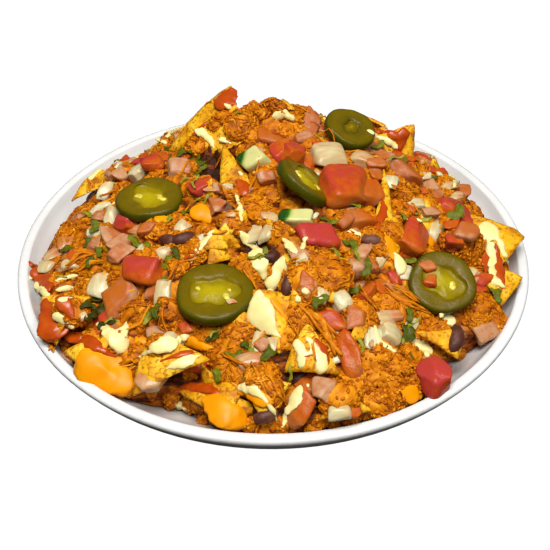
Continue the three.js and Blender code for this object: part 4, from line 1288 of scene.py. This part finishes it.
def tube(line, up, widths, depths, sides):
    """Points of a flattened tube along a line, with its width across and its depth along the given up."""
    along = np.gradient(line, axis=0)
    along /= np.linalg.norm(along, axis=1, keepdims=True) + 1e-9
    across = np.cross(along, up)
    across /= np.linalg.norm(across, axis=1, keepdims=True) + 1e-9
    above = np.cross(across, along)
    around = np.linspace(0, math.tau, sides, endpoint=False)
    return (
        line[:, None, :]
        + across[:, None, :] * (widths[:, None] / 2 * np.cos(around))[..., None]
        + above[:, None, :] * (depths[:, None] / 2 * np.sin(around))[..., None]
    ).reshape(-1, 3)


def build_chicken(settings):
    """Pulled chicken: matted clumps, each wrapped in short curly threads and crumbs."""
    draw = random.Random(SEED + 2)
    whole_ball, edge_ball = model_ball(28, 14), model_ball(18, 10)
    crumb, crumb_faces = model_crumb()
    sides, rings = 3, 5
    faces = thread_faces(sides, rings)
    along = np.linspace(-1, 1, rings)
    clumps, threads, crumbs = Batch(), Batch(), Batch()
    for number, (point, up, radius) in enumerate(clump_places(draw)):
        phase = number * 1.7
        ball, ball_faces = edge_ball if radius < EDGE_CLUMP_RADII[1] else whole_ball
        shape = np.array([radius, radius * draw.uniform(0.7, 0.95), radius * draw.uniform(0.5, 0.62)])
        matrix = set_upright(point, up, draw.uniform(0, 360), -0.22 * shape[2])
        relief = clump_relief(ball, radius, phase)
        shade = draw.uniform(-0.08, 0.1)
        # Painted shade and light: a clump's tint is darker in the hollows of its relief and towards its underside
        # where it meets the heap, and lighter on its top; shade here is only the clump's own random tone
        own_tint = np.clip(0.42 + shade + relief * 2.2 + 0.12 * ball[:, 2], 0.02, 1)
        placed = clumps.add(ball * (1 + relief)[:, None] * shape, ball_faces, matrix, own_tint)
        GROUND.add(placed, ball_faces, "meat")
        heading = draw.uniform(0, math.pi)
        crumbly = is_crumbly(point)
        for _ in range(int(radius * radius * settings.thread_share * (0.35 if crumbly else 1)) + 1):
            start = np.array([draw.gauss(0, 1), draw.gauss(0, 1), abs(draw.gauss(0.25, 0.9))])
            start /= np.linalg.norm(start)
            turn = heading + draw.gauss(0, 0.7)
            ahead = np.array([math.cos(turn), math.sin(turn), 0])
            ahead = ahead - start * (ahead @ start)
            ahead /= np.linalg.norm(ahead) + 1e-6
            beside = np.cross(start, ahead)
            length = draw.uniform(0.5, 1.3) * settings.thread_length
            curve = draw.uniform(-0.5, 0.5) * length
            sway = curve * along**2 + draw.uniform(0.2, 0.8) * np.sin(along * 3.5 + draw.uniform(0, 6))
            path = start + (np.outer(along * length / 2, ahead) + np.outer(sway, beside)) / radius
            path /= np.linalg.norm(path, axis=1, keepdims=True)
            above = 0.3 - 0.75 * along**2 + draw.uniform(-0.1, 0.35)
            out = 1 + clump_relief(path, radius, phase) + above / radius
            line = path * out[:, None] * shape
            width = draw.uniform(0.65, 1.25) * settings.thread_width
            thick = width * (0.45 + 0.55 * (1 - along**4))
            points = tube(line, path, thick, thick * draw.uniform(0.6, 1.0), sides)
            local = points + number * 3.7
            own_tint = np.clip(0.52 + shade + draw.gauss(0, 0.15), 0, 1)
            threads.add(points, faces, matrix, own_tint, local)
        for _ in range(int(radius * radius * settings.crumb_share * (2 if crumbly else 1))):
            start = np.array([draw.gauss(0, 1), draw.gauss(0, 1), abs(draw.gauss(0.2, 0.9))])
            start /= np.linalg.norm(start)
            out = 1 + float(clump_relief(start[None], radius, phase)[0]) + 0.15 / radius
            size = draw.uniform(0.4, 0.95)
            lay = set_upright(start * out * shape, start, draw.uniform(0, 360))
            grain = crumb * np.array([size * draw.uniform(1.0, 1.7), size, size * 0.8])
            grain = grain @ lay[:3, :3].T + lay[:3, 3]
            own_tint = np.clip(0.52 + shade + draw.gauss(0, 0.16), 0, 1)
            crumbs.add(grain, crumb_faces, matrix, own_tint, grain + number)
    clumps.piece("chicken_clumps", "chicken", "shredded_chicken")
    threads.piece("chicken_shreds", "chicken", "shredded_chicken")
    crumbs.piece("chicken_crumbs", "chicken", "shredded_chicken")


def is_crumbly(point):
    """Whether the camera sees a place within the crumbly mass at the front."""
    right, up, forward = camera_axes()
    away = Vector(point) - Vector(CAMERA_PLACE)
    px = FRAME_PIXELS / 2 + FOCAL_PIXELS * away.dot(right) / away.dot(forward)
    py = FRAME_PIXELS / 2 - FOCAL_PIXELS * away.dot(up) / away.dot(forward)
    left, top, far_right, bottom = CRUMBLY
    return left < px < far_right and top < py < bottom


def build_long_shreds(settings):
    """The long shreds that hang over chips and between toppings."""
    draw = random.Random(SEED + 9)
    sides, rings = 6, 14
    faces = thread_faces(sides, rings)
    along = np.linspace(0, 1, rings)
    batch = Batch()
    strokes = [(stroke, True) for stroke in SHREDS]
    for _ in range(settings.shreds):
        angle, reach = draw.uniform(0, math.tau), math.sqrt(draw.random()) * 92
        x, y = reach * math.cos(angle), reach * math.sin(angle)
        turn = draw.uniform(0, math.tau)
        length = draw.uniform(8, 20)
        bend = draw.uniform(-0.25, 0.25) * length
        middle = (x - bend * math.sin(turn), y + bend * math.cos(turn))
        half_x, half_y = length / 2 * math.cos(turn), length / 2 * math.sin(turn)
        ends = [(x + side * half_x, y + side * half_y) for side in (-1, 1)]
        beneath = [GROUND.from_above(*spot) for spot in (ends[0], middle, ends[1])]
        if any(hit is None or hit[2] in ("jalapeno", "tomato", "bowl") for hit in beneath):
            continue
        strokes.append(((draw.uniform(1.3, 2.2), ends[0], middle, ends[1]), False))
    bundles = []
    for (width, *marks), from_camera in strokes:
        spread = 2.0 if from_camera else 0.8
        for strand in range(4 if from_camera else 2):
            shift = np.array([[draw.gauss(0, spread), draw.gauss(0, spread)] for _ in marks]) * width / 2.4
            thin = width * draw.uniform(0.35, 0.6)
            bundles.append(((thin, *map(tuple, np.array(marks) + shift)), from_camera))
    for (width, *marks), from_camera in bundles:
        places = stroke_places((width, *marks), 0.8, from_camera)
        if len(places) < 4:
            continue
        line = np.array([list(point) for point, _, _ in places])
        up = np.array([list(normal) for _, normal, _ in places])
        at = along * (len(line) - 1)
        line = np.column_stack([np.interp(at, range(len(line)), line[:, k]) for k in range(3)])
        up = np.column_stack([np.interp(at, range(len(up)), up[:, k]) for k in range(3)])
        phase = draw.uniform(0, 60)
        line = line + up * (width * 0.3 + 0.3 * relief_at(line, 4, phase))[:, None]
        thick = width * (0.35 + 0.65 * np.sin(math.pi * np.clip(along * 0.9 + 0.05, 0, 1)) ** 0.6)
        thick = thick * (1 + 0.45 * relief_at(line, 2, phase + 9))
        points = tube(line, up, thick, thick * 0.7, sides)
        if (np.hypot(points[:, 0], points[:, 1]) > 114).any():
            continue
        batch.add(points, faces, None, np.clip(0.55 + draw.gauss(0, 0.12), 0, 1), points + phase)
    batch.piece("long_shreds", "chicken", "shredded_chicken")


def spots_for(listed, count, lengths, draw, kinds):
    """The listed spots seen by the camera, and more spread over the heap, mostly on its far side."""
    spots = []
    for px, py, size, turn, tint in listed:
        hit = GROUND.from_camera(px, py)
        if hit and hit[2] in kinds:
            spots.append((hit[0], hit[1], size, turn, tint))
    for _ in range(count * 30):
        if len(spots) >= count:
            break
        angle, reach = draw.uniform(0, math.tau), math.sqrt(draw.random()) * 99
        x, y = reach * math.cos(angle), reach * math.sin(angle)
        if is_hollow(x, y) or (y < FAR_SIDE_Y and draw.random() > NEAR_SHARE):
            continue
        if math.hypot(x - SUMMIT[0], y - SUMMIT[1]) < SUMMIT_CLEAR:
            continue
        hit = GROUND.from_above(x, y)
        if hit and hit[2] in ("core", "meat"):
            spots.append((hit[0], hit[1], draw.uniform(*lengths), draw.uniform(0, 360), draw.random()))
    return spots


def lean_of(normal):
    """A steadier normal for a piece that lies on rough ground."""
    return (normal + Vector((0, -0.25, 1.2))).normalized()


def build_scraps(settings):
    """Small dice of tomato and onion, and beans."""
    draw = random.Random(SEED + 3)
    block, faces = model_block(6)
    tomato, onion, bean = Batch(), Batch(), Batch()
    open_kinds = ("core", "chip", "meat", "scrap", "jalapeno")
    for point, normal, size, turn, tint in spots_for(TOMATO_SPOTS, settings.tomatoes, (4.5, 9), draw, open_kinds):
        whole = (size, size * draw.uniform(0.6, 0.95), size * draw.uniform(0.4, 0.6))
        shape = shape_chunk(block, whole, draw.uniform(0, 9), 0.25, 3.5, draw.uniform(6, 9))
        shape = cut_facets(warp_corners(shape, whole, draw, 0.24), 2, draw, (0.6, 0.8))
        side = shape / (np.array(whole) / 2)
        flesh = 0.16 * np.sin(side[:, 0] * 1.5 + draw.uniform(0, 6)) + 0.12 * side[:, 2]
        matrix = set_upright(point, lean_of(normal), turn + draw.uniform(-10, 10), size * 0.02)
        tomato.add(shape, faces, matrix, np.clip(tint + flesh, 0, 1))
    for point, normal, size, turn, tint in spots_for(ONION_SPOTS, settings.onions, (3.5, 8), draw, open_kinds):
        whole = (size, size * draw.uniform(0.5, 0.85), size * 0.27)
        shape = shape_layer(block, whole, size * 0.09, draw.uniform(0, 9))
        shape = cut_facets(warp_corners(shape, whole, draw, 0.22), 2, draw, (0.55, 0.8))
        side = shape / (np.array(whole) / 2)
        matrix = set_upright(point, lean_of(normal), turn + draw.uniform(-10, 10), 0.6)
        onion.add(shape, faces, matrix, np.clip(tint + 0.12 * side[:, 0], 0, 1))
    ball, ball_faces = model_ball(16, 10)
    for point, normal, size, turn, tint in spots_for(BEAN_SPOTS, settings.beans, (9, 11), draw, open_kinds):
        shape = ball * np.array([size / 2, size * 0.27, size * 0.24])
        shape[:, 1] += 0.0022 * size * shape[:, 0] ** 2
        shape += relief_at(shape, 3.0, turn)[:, None] * ball * 0.3
        bean.add(shape, ball_faces, set_upright(point, lean_of(normal), turn, -0.9), tint)
    for name, batch, material, slot in (
        ("tomato_bits", tomato, "tomato", "tomato"),
        ("onion_bits", onion, "onion", "onion"),
        ("beans", bean, "bean", "bean"),
    ):
        batch.piece(name, material, slot)
        GROUND.add(np.concatenate(batch.points), batch.faces, "scrap")


def build_leaves(settings):
    """Chopped coriander: ruffled strips of leaf and bits of stalk."""
    draw = random.Random(SEED + 4)
    lengthwise, crosswise = 9, 4
    u = np.linspace(-1, 1, lengthwise)
    v = np.linspace(-1, 1, crosswise)
    count = lengthwise * crosswise
    faces = []
    for i in range(lengthwise - 1):
        for j in range(crosswise - 1):
            a, b = i * crosswise + j, (i + 1) * crosswise + j
            faces.append([a, b, b + 1, a + 1])
            faces.append([count + a, count + a + 1, count + b + 1, count + b])
    rim = [i * crosswise for i in range(lengthwise)]
    rim += [(lengthwise - 1) * crosswise + j for j in range(1, crosswise)]
    rim += [i * crosswise + crosswise - 1 for i in range(lengthwise - 2, -1, -1)]
    rim += [j for j in range(crosswise - 2, 0, -1)]
    for k, start in enumerate(rim):
        end = rim[(k + 1) % len(rim)]
        faces.append([end, start, start + count, end + count])
    batch = Batch()
    kinds = ("core", "chip", "meat", "scrap", "tomato", "onion")
    for point, normal, size, turn, tint in spots_for(LEAF_SPOTS, settings.leaves, (3.5, 7.5), draw, kinds):
        phase = draw.uniform(0, 6)
        is_stalk = draw.random() < 0.3
        size = size * 0.85
        wide = size * (0.07 if is_stalk else draw.uniform(0.13, 0.24))
        edge = wide * (0.25 + np.sin(math.pi * (u * 0.46 + 0.5)) ** 0.8) * (1 + 0.3 * np.sin(u * 7 + phase))
        x = np.repeat(u * size / 2, crosswise)
        y = np.outer(edge, v).ravel() + 0.14 * size * np.repeat(np.sin(u * 2.2 + phase), crosswise)
        fold = 0.45 * np.abs(np.outer(edge, v)).ravel()
        z = fold + 0.1 * size * np.repeat(np.cos(u * 2.6 + phase), crosswise)
        z = z + 0.12 * size * np.sin(x * 9 / size + y * 5 / size + phase) * 0.5
        low = np.column_stack([x, y, z])
        points = np.concatenate([low + np.array([0, 0, 0.35]), low])
        matrix = set_upright(point, lean_of(normal), turn + draw.uniform(-12, 12), 0.7)
        batch.add(points, faces, matrix, 0.85 if is_stalk else tint * 0.8 + draw.uniform(0, 0.25))
    batch.piece("coriander_leaves", "leaf", "coriander")


def stroke_places(stroke, step, from_camera=True):
    """Places along a stroke, laid on the ground and evened so that the sauce spans small gaps."""
    width, *marks = stroke
    shares = [mark[2] if len(mark) > 2 else 1.0 for mark in marks]
    marks = np.array([mark[:2] for mark in marks], dtype=float)
    spans = np.linalg.norm(np.diff(marks, axis=0), axis=1)
    reach = np.concatenate([[0], np.cumsum(spans)])
    scale = MM_PER_PIXEL if from_camera else 1.0
    count = max(2, int(reach[-1] * scale / step))
    at = np.linspace(0, reach[-1], count)
    line = np.column_stack([np.interp(at, reach, marks[:, k]) for k in (0, 1)])
    starts, aims, depths, normals, swells = [], [], [], [], []
    for (u, v), swell in zip(line, np.interp(at, reach, shares)):
        start = Vector(CAMERA_PLACE) if from_camera else Vector((u, v, 150))
        aim = sight(u, v) if from_camera else Vector((0, 0, -1))
        hit = GROUND.cast(start, aim)
        if hit is None:
            continue
        starts.append(start)
        aims.append(aim)
        depths.append(hit[3])
        normals.append(hit[1])
        swells.append(float(swell))
    if not depths:
        return []
    depths = np.array(depths)
    window = 2 * EVENED + 1
    padded = np.pad(depths, EVENED, mode="edge")
    nearest = np.array([np.percentile(padded[i : i + window], 30) for i in range(len(depths))])
    padded = np.pad(nearest, EVENED, mode="edge")
    even = np.convolve(padded, np.ones(window) / window, mode="valid")
    places = []
    for i in range(len(depths)):
        depth = float(even[i] if depths[i] - even[i] < BRIDGE else depths[i])
        up = sum(normals[max(0, i - EVENED) : i + EVENED + 1], Vector())
        places.append((starts[i] + aims[i] * depth, (up + Vector((0, 0, 0.5))).normalized(), swells[i]))
    return places


def pour(sauce, strokes, behind, flatness, seed, drops, softening):
    """A sauce: drops along each stroke, joined into one smooth skin."""
    name, material, slot = sauce
    draw = random.Random(seed)
    ball, faces = model_drop()
    batch = Batch()
    for group, from_camera in ((strokes, True), (behind, False)):
        for stroke in group:
            width = stroke[0]
            places = stroke_places(stroke, min(width * 0.16, 1.0), from_camera)
            phase = draw.uniform(0, 6)
            for index, (point, up, full) in enumerate(places):
                share = index / max(1, len(places) - 1)
                taper = 0.55 + 0.45 * math.sin(math.pi * min(1, 0.12 + share * 0.9)) ** 0.6
                swell = width / 2 * full * taper * (1 + 0.2 * math.sin(share * 7 + phase))
                for _ in range(2):
                    drift = Vector((draw.gauss(0, 1), draw.gauss(0, 1), 0)) * swell * 0.16
                    wide, deep = swell * draw.uniform(0.7, 1.1), max(0.7, swell * flatness)
                    shape = ball * np.array([wide, wide * draw.uniform(0.7, 1.0), deep])
                    batch.add(shape, faces, set_upright(point + drift, up, draw.uniform(0, 180), -0.25))
    for _ in range(drops):
        angle, reach = draw.uniform(0, math.tau), math.sqrt(draw.random()) * 98
        if reach * math.sin(angle) < FAR_SIDE_Y and draw.random() > NEAR_SHARE:
            continue
        hit = GROUND.from_above(reach * math.cos(angle), reach * math.sin(angle))
        if hit and hit[2] != "jalapeno":
            heading = draw.uniform(0, math.tau)
            length = draw.uniform(1, 9)
            width = draw.uniform(1.6, 3.4)
            end = (hit[0].x + length * math.cos(heading), hit[0].y + length * math.sin(heading))
            for point, up, _ in stroke_places((width, (hit[0].x, hit[0].y), end), width * 0.25, False):
                swell = width / 2 * draw.uniform(0.85, 1.15)
                batch.add(ball * np.array([swell, swell, 0.75]), faces, set_upright(point, up, 0, -0.15))
    piece = batch.piece(name, material, slot)
    deselect_all()
    bpy.context.view_layer.objects.active = piece
    piece.select_set(True)
    remesh = piece.modifiers.new("one_skin", "REMESH")
    remesh.mode = "VOXEL"
    remesh.voxel_size = SAUCE_CELL * MM
    remesh.use_smooth_shade = True
    bpy.ops.object.modifier_apply(modifier=remesh.name)
    smooth = piece.modifiers.new("soft", "SMOOTH")
    smooth.factor = 0.5
    smooth.iterations = softening
    bpy.ops.object.modifier_apply(modifier=smooth.name)
    mesh = piece.data
    points = np.array([v.co for v in mesh.vertices]) / MM
    for attribute in ("local", "tint"):
        if attribute in mesh.attributes:
            mesh.attributes.remove(mesh.attributes[attribute])
    place = mesh.attributes.new("local", "FLOAT_VECTOR", "POINT")
    place.data.foreach_set("vector", points.astype(np.float32).ravel())
    tint = mesh.attributes.new("tint", "FLOAT", "POINT")
    tint.data.foreach_set("value", np.full(len(points), 0.5, dtype=np.float32))
    GROUND.add(points, [list(p.vertices) for p in mesh.polygons], "sauce")


class BowlSettings(bpy.types.PropertyGroup):
    steps: IntProperty(
        name="Steps", description="How many steps the bowl's wall takes in one turn",
        default=128, min=32, max=256,
    )


class ChickenSettings(bpy.types.PropertyGroup):
    thread_share: FloatProperty(
        name="Threads", description="How many threads wrap each clump, for each square millimetre",
        default=0.74, min=0.1, max=1.5,
    )
    thread_length: FloatProperty(
        name="Thread length", description="Usual length of a thread, in millimetres",
        default=5.5, min=3.0, max=15.0,
    )
    thread_width: FloatProperty(
        name="Thread width", description="Usual width of a thread, in millimetres",
        default=0.95, min=0.5, max=3.0,
    )
    crumb_share: FloatProperty(
        name="Crumbs", description="How many crumbs lie on each clump, for each square millimetre",
        default=0.75, min=0.0, max=2.0,
    )


class ScrapSettings(bpy.types.PropertyGroup):
    tomatoes: IntProperty(
        name="Tomato bits", description="How many small dice of tomato lie on the heap", default=120, min=0, max=300
    )
    onions: IntProperty(
        name="Onion bits", description="How many small pieces of onion lie on the heap", default=125, min=0, max=300
    )
    beans: IntProperty(name="Beans", description="How many beans lie on the heap", default=13, min=0, max=60)
    leaves: IntProperty(
        name="Leaves", description="How many bits of coriander lie on the heap", default=105, min=0, max=300
    )
    corners: IntProperty(
        name="Chip corners", description="How many places are tried for more chip corners", default=34, min=0, max=100
    )
    shreds: IntProperty(
        name="Long shreds", description="How many places are tried for more long shreds", default=40, min=0, max=100
    )


class SauceSettings(bpy.types.PropertyGroup):
    drops: IntProperty(
        name="Splashes", description="How many small splashes of each sauce lie about",
        default=24, min=0, max=80,
    )


class NACHOS_OT_bowl(bpy.types.Operator):
    """Spin the glazed bowl"""

    bl_idname = "nachos.bowl"
    bl_label = "Bowl"

    def execute(self, context):
        build_bowl(context.scene.nachos_bowl)
        return {"FINISHED"}


class NACHOS_OT_core(bpy.types.Operator):
    """Form the heap's core"""

    bl_idname = "nachos.core"
    bl_label = "Heap core"

    def execute(self, context):
        build_core()
        return {"FINISHED"}


class NACHOS_OT_jalapenos(bpy.types.Operator):
    """Lay the pickled jalapeno slices"""

    bl_idname = "nachos.jalapenos"
    bl_label = "Jalapeno slices"

    def execute(self, context):
        build_jalapenos()
        return {"FINISHED"}


class NACHOS_OT_chunks(bpy.types.Operator):
    """Lay the large dice of tomato, onion and cucumber"""

    bl_idname = "nachos.chunks"
    bl_label = "Large dice"

    def execute(self, context):
        build_chunks()
        return {"FINISHED"}


class NACHOS_OT_chips(bpy.types.Operator):
    """Set the tortilla chips"""

    bl_idname = "nachos.chips"
    bl_label = "Tortilla chips"

    def execute(self, context):
        build_chips(context.scene.nachos_scraps)
        return {"FINISHED"}


class NACHOS_OT_chicken(bpy.types.Operator):
    """Drape the pulled chicken"""

    bl_idname = "nachos.chicken"
    bl_label = "Pulled chicken"

    def execute(self, context):
        build_chicken(context.scene.nachos_chicken)
        return {"FINISHED"}


class NACHOS_OT_shreds(bpy.types.Operator):
    """Hang the long shreds of chicken"""

    bl_idname = "nachos.shreds"
    bl_label = "Long shreds"

    def execute(self, context):
        build_long_shreds(context.scene.nachos_scraps)
        return {"FINISHED"}


class NACHOS_OT_scraps(bpy.types.Operator):
    """Scatter the small dice and the beans"""

    bl_idname = "nachos.scraps"
    bl_label = "Small dice and beans"

    def execute(self, context):
        build_scraps(context.scene.nachos_scraps)
        return {"FINISHED"}


class NACHOS_OT_leaves(bpy.types.Operator):
    """Scatter the chopped coriander"""

    bl_idname = "nachos.leaves"
    bl_label = "Coriander"

    def execute(self, context):
        build_leaves(context.scene.nachos_scraps)
        return {"FINISHED"}


class NACHOS_OT_sauces(bpy.types.Operator):
    """Pour the cheese sauce, the hot sauce and the cream"""

    bl_idname = "nachos.sauces"
    bl_label = "Sauces"

    def execute(self, context):
        drops = context.scene.nachos_sauce.drops
        cheese = ("cheese_sauce_pools", "cheese", "cheese_sauce")
        hot = ("hot_sauce_lines", "hot", "hot_sauce")
        cream = ("cream_drizzle", "cream", "cream")
        pour(cheese, CHEESE_STROKES, CHEESE_BEHIND, 0.2, SEED + 5, drops, 26)
        pour(hot, HOT_STROKES, HOT_BEHIND, 0.16, SEED + 6, drops, 12)
        pour(cream, CREAM_STROKES, CREAM_BEHIND, 0.2, SEED + 7, drops, 10)
        return {"FINISHED"}


class NACHOS_OT_stage(bpy.types.Operator):
    """Set the floor, the lights and the camera"""

    bl_idname = "nachos.stage"
    bl_label = "Stage"

    def execute(self, context):
        build_stage()
        return {"FINISHED"}


def build_stage():
    """A plain white floor, soft light from above and in front, and the camera."""
    deselect_all()
    bpy.ops.mesh.primitive_plane_add(size=6)
    floor = bpy.context.object
    floor.name = "floor"
    # Lit white paper: the eye sees plain white, and little of that light is thrown back under the bowl
    material, tree, output = new_material("white_paper_floor")
    paper = add_node(tree, "ShaderNodeBsdfDiffuse", {"Color": linear("#343230"), "Roughness": 0.5})
    lit = add_node(tree, "ShaderNodeEmission", {"Color": linear("#FFFFFF"), "Strength": 1.05})
    seen = add_node(tree, "ShaderNodeLightPath")
    shader = add_node(
        tree, "ShaderNodeMixShader", {},
        {0: seen.outputs["Is Camera Ray"], 1: paper.outputs[0], 2: lit.outputs[0]},
    )
    tree.links.new(shader.outputs[0], output.inputs["Surface"])
    floor.data.materials.append(material)
    lights = [
        ("key_light", (-0.08, -0.32, 1.2), 0.6, 17.0),
        ("front_light", (0.45, -0.62, 1.2), 0.9, 9.5),
    ]
    for name, place, size, power in lights:
        data = bpy.data.lights.new(name, "AREA")
        data.shape = "DISK"
        data.size = size
        data.energy = power
        light = bpy.data.objects.new(name, data)
        light.location = place
        light.rotation_euler = (Vector((0, 0, 0.03)) - Vector(place)).to_track_quat("-Z", "Y").to_euler()
        bpy.context.scene.collection.objects.link(light)
    world = bpy.data.worlds.new("soft_room")
    world.use_nodes = True
    world.node_tree.nodes.clear()
    tree = world.node_tree
    fill = add_node(tree, "ShaderNodeBackground", {"Color": (1, 1, 1, 1), "Strength": 0.16})
    white = add_node(tree, "ShaderNodeBackground", {"Color": (1, 1, 1, 1), "Strength": 1.05})
    seen = add_node(tree, "ShaderNodeLightPath")
    mixed = add_node(
        tree, "ShaderNodeMixShader", {},
        {0: seen.outputs["Is Camera Ray"], 1: fill.outputs[0], 2: white.outputs[0]},
    )
    add_node(tree, "ShaderNodeOutputWorld", {}, {"Surface": mixed.outputs[0]})
    bpy.context.scene.world = world
    right, up, forward = camera_axes()
    data = bpy.data.cameras.new("camera")
    data.sensor_width = SENSOR_WIDTH
    data.lens = SENSOR_WIDTH * FOCAL_PIXELS / FRAME_PIXELS
    camera = bpy.data.objects.new("camera", data)
    turned = Matrix((right, up, -forward)).transposed().to_4x4()
    turned.translation = Vector(CAMERA_PLACE) * MM
    camera.matrix_world = turned
    bpy.context.scene.collection.objects.link(camera)
    bpy.context.scene.camera = camera
    bpy.context.scene.view_settings.view_transform = "Standard"


class NACHOS_PT_panel(bpy.types.Panel):
    """The pieces of the bowl of nachos"""

    bl_idname = "NACHOS_PT_panel"
    bl_label = "Loaded nachos"
    bl_space_type = "VIEW_3D"
    bl_region_type = "UI"
    bl_category = "Nachos"

    def draw(self, context):
        for key, group in GROUPS.items():
            for name in group.__annotations__:
                self.layout.prop(getattr(context.scene, key), name)
        for operator in OPERATORS:
            self.layout.operator(operator.bl_idname)


OPERATORS = (
    NACHOS_OT_stage,
    NACHOS_OT_bowl,
    NACHOS_OT_core,
    NACHOS_OT_jalapenos,
    NACHOS_OT_chunks,
    NACHOS_OT_chips,
    NACHOS_OT_chicken,
    NACHOS_OT_scraps,
    NACHOS_OT_shreds,
    NACHOS_OT_leaves,
    NACHOS_OT_sauces,
)
GROUPS = {
    "nachos_bowl": BowlSettings,
    "nachos_chicken": ChickenSettings,
    "nachos_scraps": ScrapSettings,
    "nachos_sauce": SauceSettings,
}
MATERIALS = {}


def register():
    for group in GROUPS.values():
        bpy.utils.register_class(group)
    for operator in OPERATORS:
        bpy.utils.register_class(operator)
    bpy.utils.register_class(NACHOS_PT_panel)
    for name, group in GROUPS.items():
        setattr(bpy.types.Scene, name, PointerProperty(type=group))


def unregister():
    for name in GROUPS:
        delattr(bpy.types.Scene, name)
    bpy.utils.unregister_class(NACHOS_PT_panel)
    for operator in reversed(OPERATORS):
        bpy.utils.unregister_class(operator)
    for group in reversed(GROUPS.values()):
        bpy.utils.unregister_class(group)


def main():
    register()
    MATERIALS.update(make_materials())
    bpy.ops.nachos.stage()
    bpy.ops.nachos.bowl()
    bpy.ops.nachos.core()
    bpy.ops.nachos.jalapenos()
    bpy.ops.nachos.chunks()
    bpy.ops.nachos.chips()
    bpy.ops.nachos.chicken()
    bpy.ops.nachos.scraps()
    bpy.ops.nachos.shreds()
    bpy.ops.nachos.leaves()
    bpy.ops.nachos.sauces()


if __name__ == "__main__":
    main()
